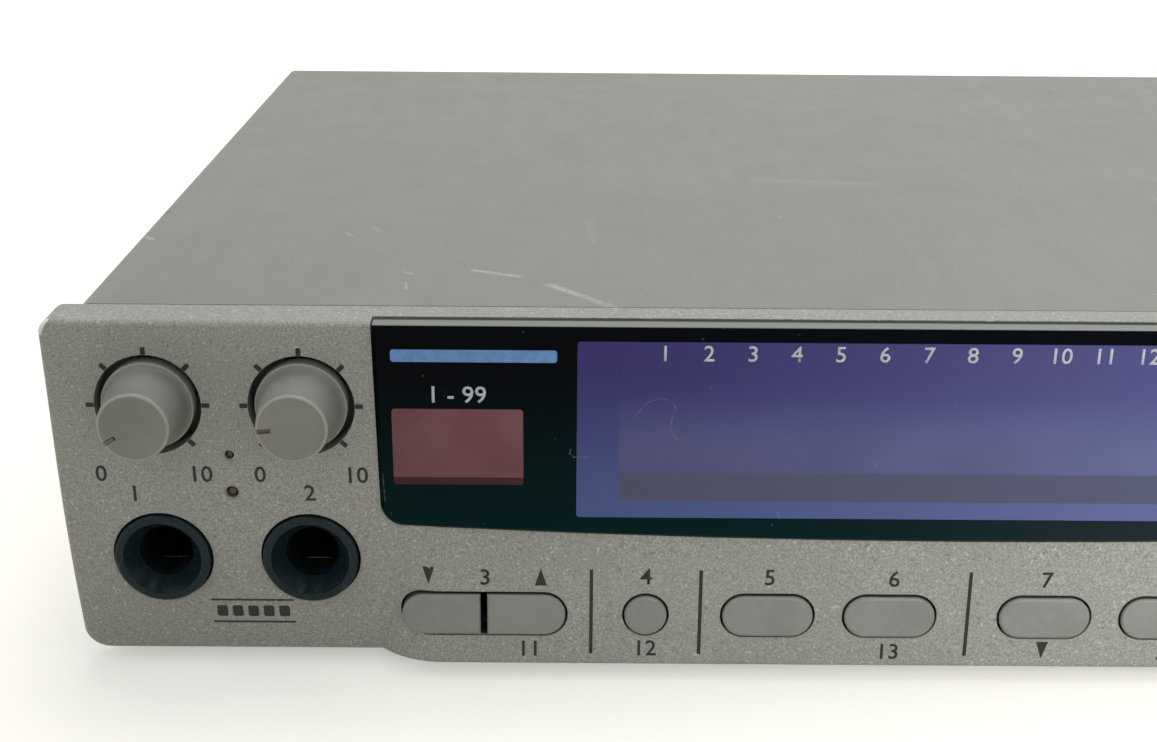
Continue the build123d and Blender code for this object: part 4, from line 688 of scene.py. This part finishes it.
def turned_grey(at):
    """Grey moulding with painted highlights on its face edge and rim."""
    flow = grain(at, 6 * MM, 3.0)
    skin = grain(at, 0.35 * MM)
    tone = between(flow * 0.7 + skin * 0.3, 0.35, 0.65)
    paint = mixed(tone, colour(118, 119, 112), colour(130, 131, 124))
    highlighted = sum(rubbed_edges(at, name) for name in KNOBS)
    # Painted highlight: paler rings on the face edge and rim of each knob.
    paint = mixed(highlighted * 0.6, paint, colour(168, 170, 162))
    return {"Base Color": paint, "Roughness": between(flow, 0.3, 0.7, 0.48, 0.6),
            "Normal": relief(skin, 0.03 * MM), "Specular IOR Level": 0.4}


dress(finish("knob_grey", turned_grey), *KNOBS)
POINTER_TURN = {"input_knob": radians(122), "phones_knob": radians(95)}
# The first knob's pointer colour is painted shade in its notch; the second's is mauve paint.
POINTER_PAINT_AND_SHADE = {"input_knob": colour(110, 111, 102), "phones_knob": colour(94, 76, 74)}
POINTER_R = 3.3 * MM
POINTER_SIZE = (0.42 * MM, 1.2 * MM)
POINTER_T, POINTER_DEEP = 0.12 * MM, 0.3 * MM
for name in KNOBS:
    axis = middle(name)
    fill = bar(0, POINTER_R, *POINTER_SIZE)
    thicken(fill, POINTER_T)
    fill.rotation_euler = (pi / 2, 0, 0)
    settle(fill)
    fill.rotation_euler = (0, -POINTER_TURN[name], 0)
    fill.location = (axis.x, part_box(name)[0].y + POINTER_DEEP, axis.z)
    settle(fill)
    fill.name = name.replace("_knob", "_pointer")
    paint = finish(fill.name + "_paint", printing_ink(POINTER_PAINT_AND_SHADE[name]))
    finish_piece(fill, paint, name)


# ---------------------------------------------------------------- sockets
# Glossy black mouldings with a flared mouth for a quarter-inch plug. A thin brass leaf crosses
# the barrel of each front socket and touches the plug.

def socket_black(at):
    """Black nylon: glossy face with a painted blue-green reflection, dust specks, and a dull barrel
    painted dark as shade.
    """
    skin = grain(at, 1.2 * MM)
    deep = between(along(at, 1), face_y + 2.0 * MM, face_y + 5.0 * MM)
    worn = between(grain(at, 0.4 * MM, 1.0), 0.66, 0.74)
    # Painted reflection: blue-green on the face; painted shade: near black down the barrel.
    tone = mixed(deep, colour(20, 34, 39), colour(2, 3, 3))
    return {"Base Color": mixed(worn * 0.35, tone, colour(70, 80, 82)),
            "Roughness": between(skin, 0.3, 0.7, 0.2, 0.3) + deep * 0.6, "Normal": relief(skin, 0.03 * MM),
            "Specular IOR Level": 0.16}


socket_paint = finish("socket_black", socket_black)
REAR_JACKS = ("left_input_jack", "right_input_jack", "left_output_jack", "right_output_jack",
              "pedal_jack")
REAR_SOCKETS = (*REAR_JACKS, "midi_out_socket", "midi_in_socket", "dc_inlet")
dress(socket_paint, "input_jack", "phones_jack", "jack_nuts", "cord_hook", "level_slider",
      *REAR_SOCKETS)
LEAF_SIZE = (3.6 * MM, 0.22 * MM)
LEAF_T = 0.12 * MM
LEAF_ASIDE, LEAF_DEEP, LEAF_DOWN = 0.2 * MM, 6.2 * MM, 2.9 * MM
for name in ("input_jack", "phones_jack"):
    leaf = bar(middle(name).x - LEAF_ASIDE, 0, *LEAF_SIZE)
    bpy.ops.object.mode_set(mode="EDIT")
    bpy.ops.mesh.select_all(action="SELECT")
    bpy.ops.mesh.subdivide(number_cuts=3)
    bpy.ops.object.mode_set(mode="OBJECT")
    thicken(leaf, LEAF_T, 0.0)
    leaf.location = (0, face_y + LEAF_DEEP, middle(name).z - LEAF_DOWN)
    settle(leaf)
    leaf.name = name.replace("_jack", "_leaf")
    finish_piece(leaf, brass, "root")


# ---------------------------------------------------------------- rear printing
# Each rear socket is told apart by a plain number above it, in the dark ink of the front.

REAR_Z = 34.5 * MM
REAR_SIZE = 3.4 * MM
UNDERLINE_DROP = 2.6 * MM
UNDERLINE_SIZE = (7.0 * MM, 0.3 * MM)
rear_marks = []
for place, name in enumerate(REAR_SOCKETS, 1):
    rear_marks.append(number(str(place), -middle(name).x, REAR_Z, REAR_SIZE))
    rear_marks.append(bar(-middle(name).x, REAR_Z - UNDERLINE_DROP, *UNDERLINE_SIZE))
print_on("chassis_tray", join("rear_print", rear_marks), dark_ink, 1)


# ---------------------------------------------------------------- lamps and buttons
# Tinted epoxy lamps sit behind small holes. The push buttons are satin grey mouldings that
# stand just proud of the strip, and the power button is a square one that stands out.

epoxy = moulding(colour(52, 44, 40), 0.3, 0.6 * MM, 0.01 * MM)
dress(finish("lamp_epoxy", epoxy), "lamps")


def button_moulding(at):
    """Satin grey face; the sides that slide in the strip are painted dark as shade."""
    flow = grain(at, 6 * MM, 3.0)
    skin = grain(at, 0.9 * MM)
    tone = between(flow * 0.7 + skin * 0.3, 0.35, 0.65)
    face = mixed(tone, colour(123, 126, 120), colour(131, 134, 128))
    # Painted shade: the sides below the face, down in the slot, are darkened.
    slot_shade = between(along(at, 1), STRIP_Y - 0.1 * MM, STRIP_Y + 0.2 * MM)
    return {"Base Color": mixed(slot_shade * 0.8, face, colour(34, 34, 32)),
            "Roughness": between(flow, 0.3, 0.7, 0.32, 0.42), "Normal": relief(skin, 0.01 * MM)}


buttons = [name for name in frame["bodies"] if name.endswith("_button")]
dress(finish("button_grey", button_moulding), *buttons)


# ---------------------------------------------------------------- studio
# A pale floor that keeps the unit's shadow, soft lamps above, at both sides and close to the right
# of the front, and the camera in front of the unit, a little to the left and looking down on it.

FLOOR_SIZE = 4.0
FLOOR_BACK = 0.4
FLOOR_FILL = 0.42
NEAR, FAR = 0.3, 1.6
SKY_LIGHT = 0.4
CAMERA_RAY, GLOSSY_RAY, CLEAR_RAY = 0, 3, 6
WHITE, BLACK = (1.0, 1.0, 1.0, 1.0), (0.0, 0.0, 0.0, 1.0)


def in_sight(wire):
    """1 for what the camera sees straight, mirrored or through glass, 0 for the light's own paths."""
    rays = [wire.node("LightPath", {}, {}, out=kind) for kind in (CAMERA_RAY, GLOSSY_RAY, CLEAR_RAY)]
    return wire.node("Clamp", {}, {0: sum(rays)})


def table_top(at):
    """Pale matt board that brightens to plain white away from the unit."""
    fine = grain(at, 20 * MM, 3.0)
    away = at.node("VectorMath", {"operation": "LENGTH"}, {0: at}, out=1)
    glow = in_sight(at) * between(away, NEAR, FAR, FLOOR_FILL, 1.0)
    return {"Base Color": mixed(fine, (0.82, 0.80, 0.74, 1.0), (0.80, 0.78, 0.715, 1.0)),
            "Roughness": 0.8, "Specular IOR Level": 0.1, "Emission Strength": 1.0,
            "Emission Color": mixed(glow, BLACK, (1.0, 0.99, 0.96, 1.0))}


bpy.ops.mesh.primitive_plane_add(size=1, location=(0, FLOOR_BACK, 0))
floor = bpy.context.object
floor.name = "floor"
floor.scale = (FLOOR_SIZE, FLOOR_SIZE, 1)
settle(floor)
bpy.ops.object.mode_set(mode="EDIT")
bpy.ops.mesh.select_all(action="SELECT")
bpy.ops.mesh.subdivide(number_cuts=3)
bpy.ops.object.mode_set(mode="OBJECT")
floor.data.materials.append(finish("table_top", table_top))

world = bpy.data.worlds.new("studio")
world.use_nodes = True
bpy.context.scene.world = world
world.node_tree.nodes.clear()
sky = Wire(world.node_tree)
strength = SKY_LIGHT + in_sight(sky) * (1 - SKY_LIGHT)
shine = sky.node("Background", {}, {"Color": WHITE, "Strength": strength})
sky.node("OutputWorld", {}, {"Surface": shine})


def soft_lamp(name, place, aim, size, power, spread=180):
    """A square lamp that faces the aim, with its power in watts and its spread in degrees."""
    lamp = bpy.data.lights.new(name, "AREA")
    lamp.size = size
    lamp.energy = power
    lamp.spread = radians(spread)
    holder = bpy.data.objects.new(name, lamp)
    bpy.context.scene.collection.objects.link(holder)
    holder.location = place
    holder.rotation_euler = (Vector(aim) - Vector(place)).to_track_quat("-Z", "Y").to_euler()


soft_lamp("top_lamp", (0.10, 0.15, 0.90), (0.0, 0.05, 0.0), 0.70, 4.2)
soft_lamp("left_lamp", (-0.40, -0.40, 0.45), (-0.05, 0.0, 0.02), 0.70, 0.6)
soft_lamp("side_lamp", (0.55, 0.25, 0.45), (0.05, 0.05, 0.04), 0.40, 0.8)
soft_lamp("near_lamp", (0.12, -0.31, 0.14), (0.095, -0.076, 0.02), 0.16, 0.10, 60)

CAMERA_AT = (-0.0477, -0.24706, 0.10669)
CAMERA_DOWN, CAMERA_ASIDE, CAMERA_ROLL = 0.370, -0.002, 0.008
camera = bpy.data.cameras.new("camera")
camera.lens = 49.78
camera.sensor_width = 36.0
camera.clip_start = 0.01
holder = bpy.data.objects.new("camera", camera)
bpy.context.scene.collection.objects.link(holder)
turn = Matrix.Rotation(CAMERA_ASIDE, 4, "Z") @ Matrix.Rotation(pi / 2 - CAMERA_DOWN, 4, "X")
holder.matrix_world = Matrix.Translation(CAMERA_AT) @ turn @ Matrix.Rotation(CAMERA_ROLL, 4, "Z")
bpy.context.scene.camera = holder
bpy.context.scene.view_settings.view_transform = "Standard"
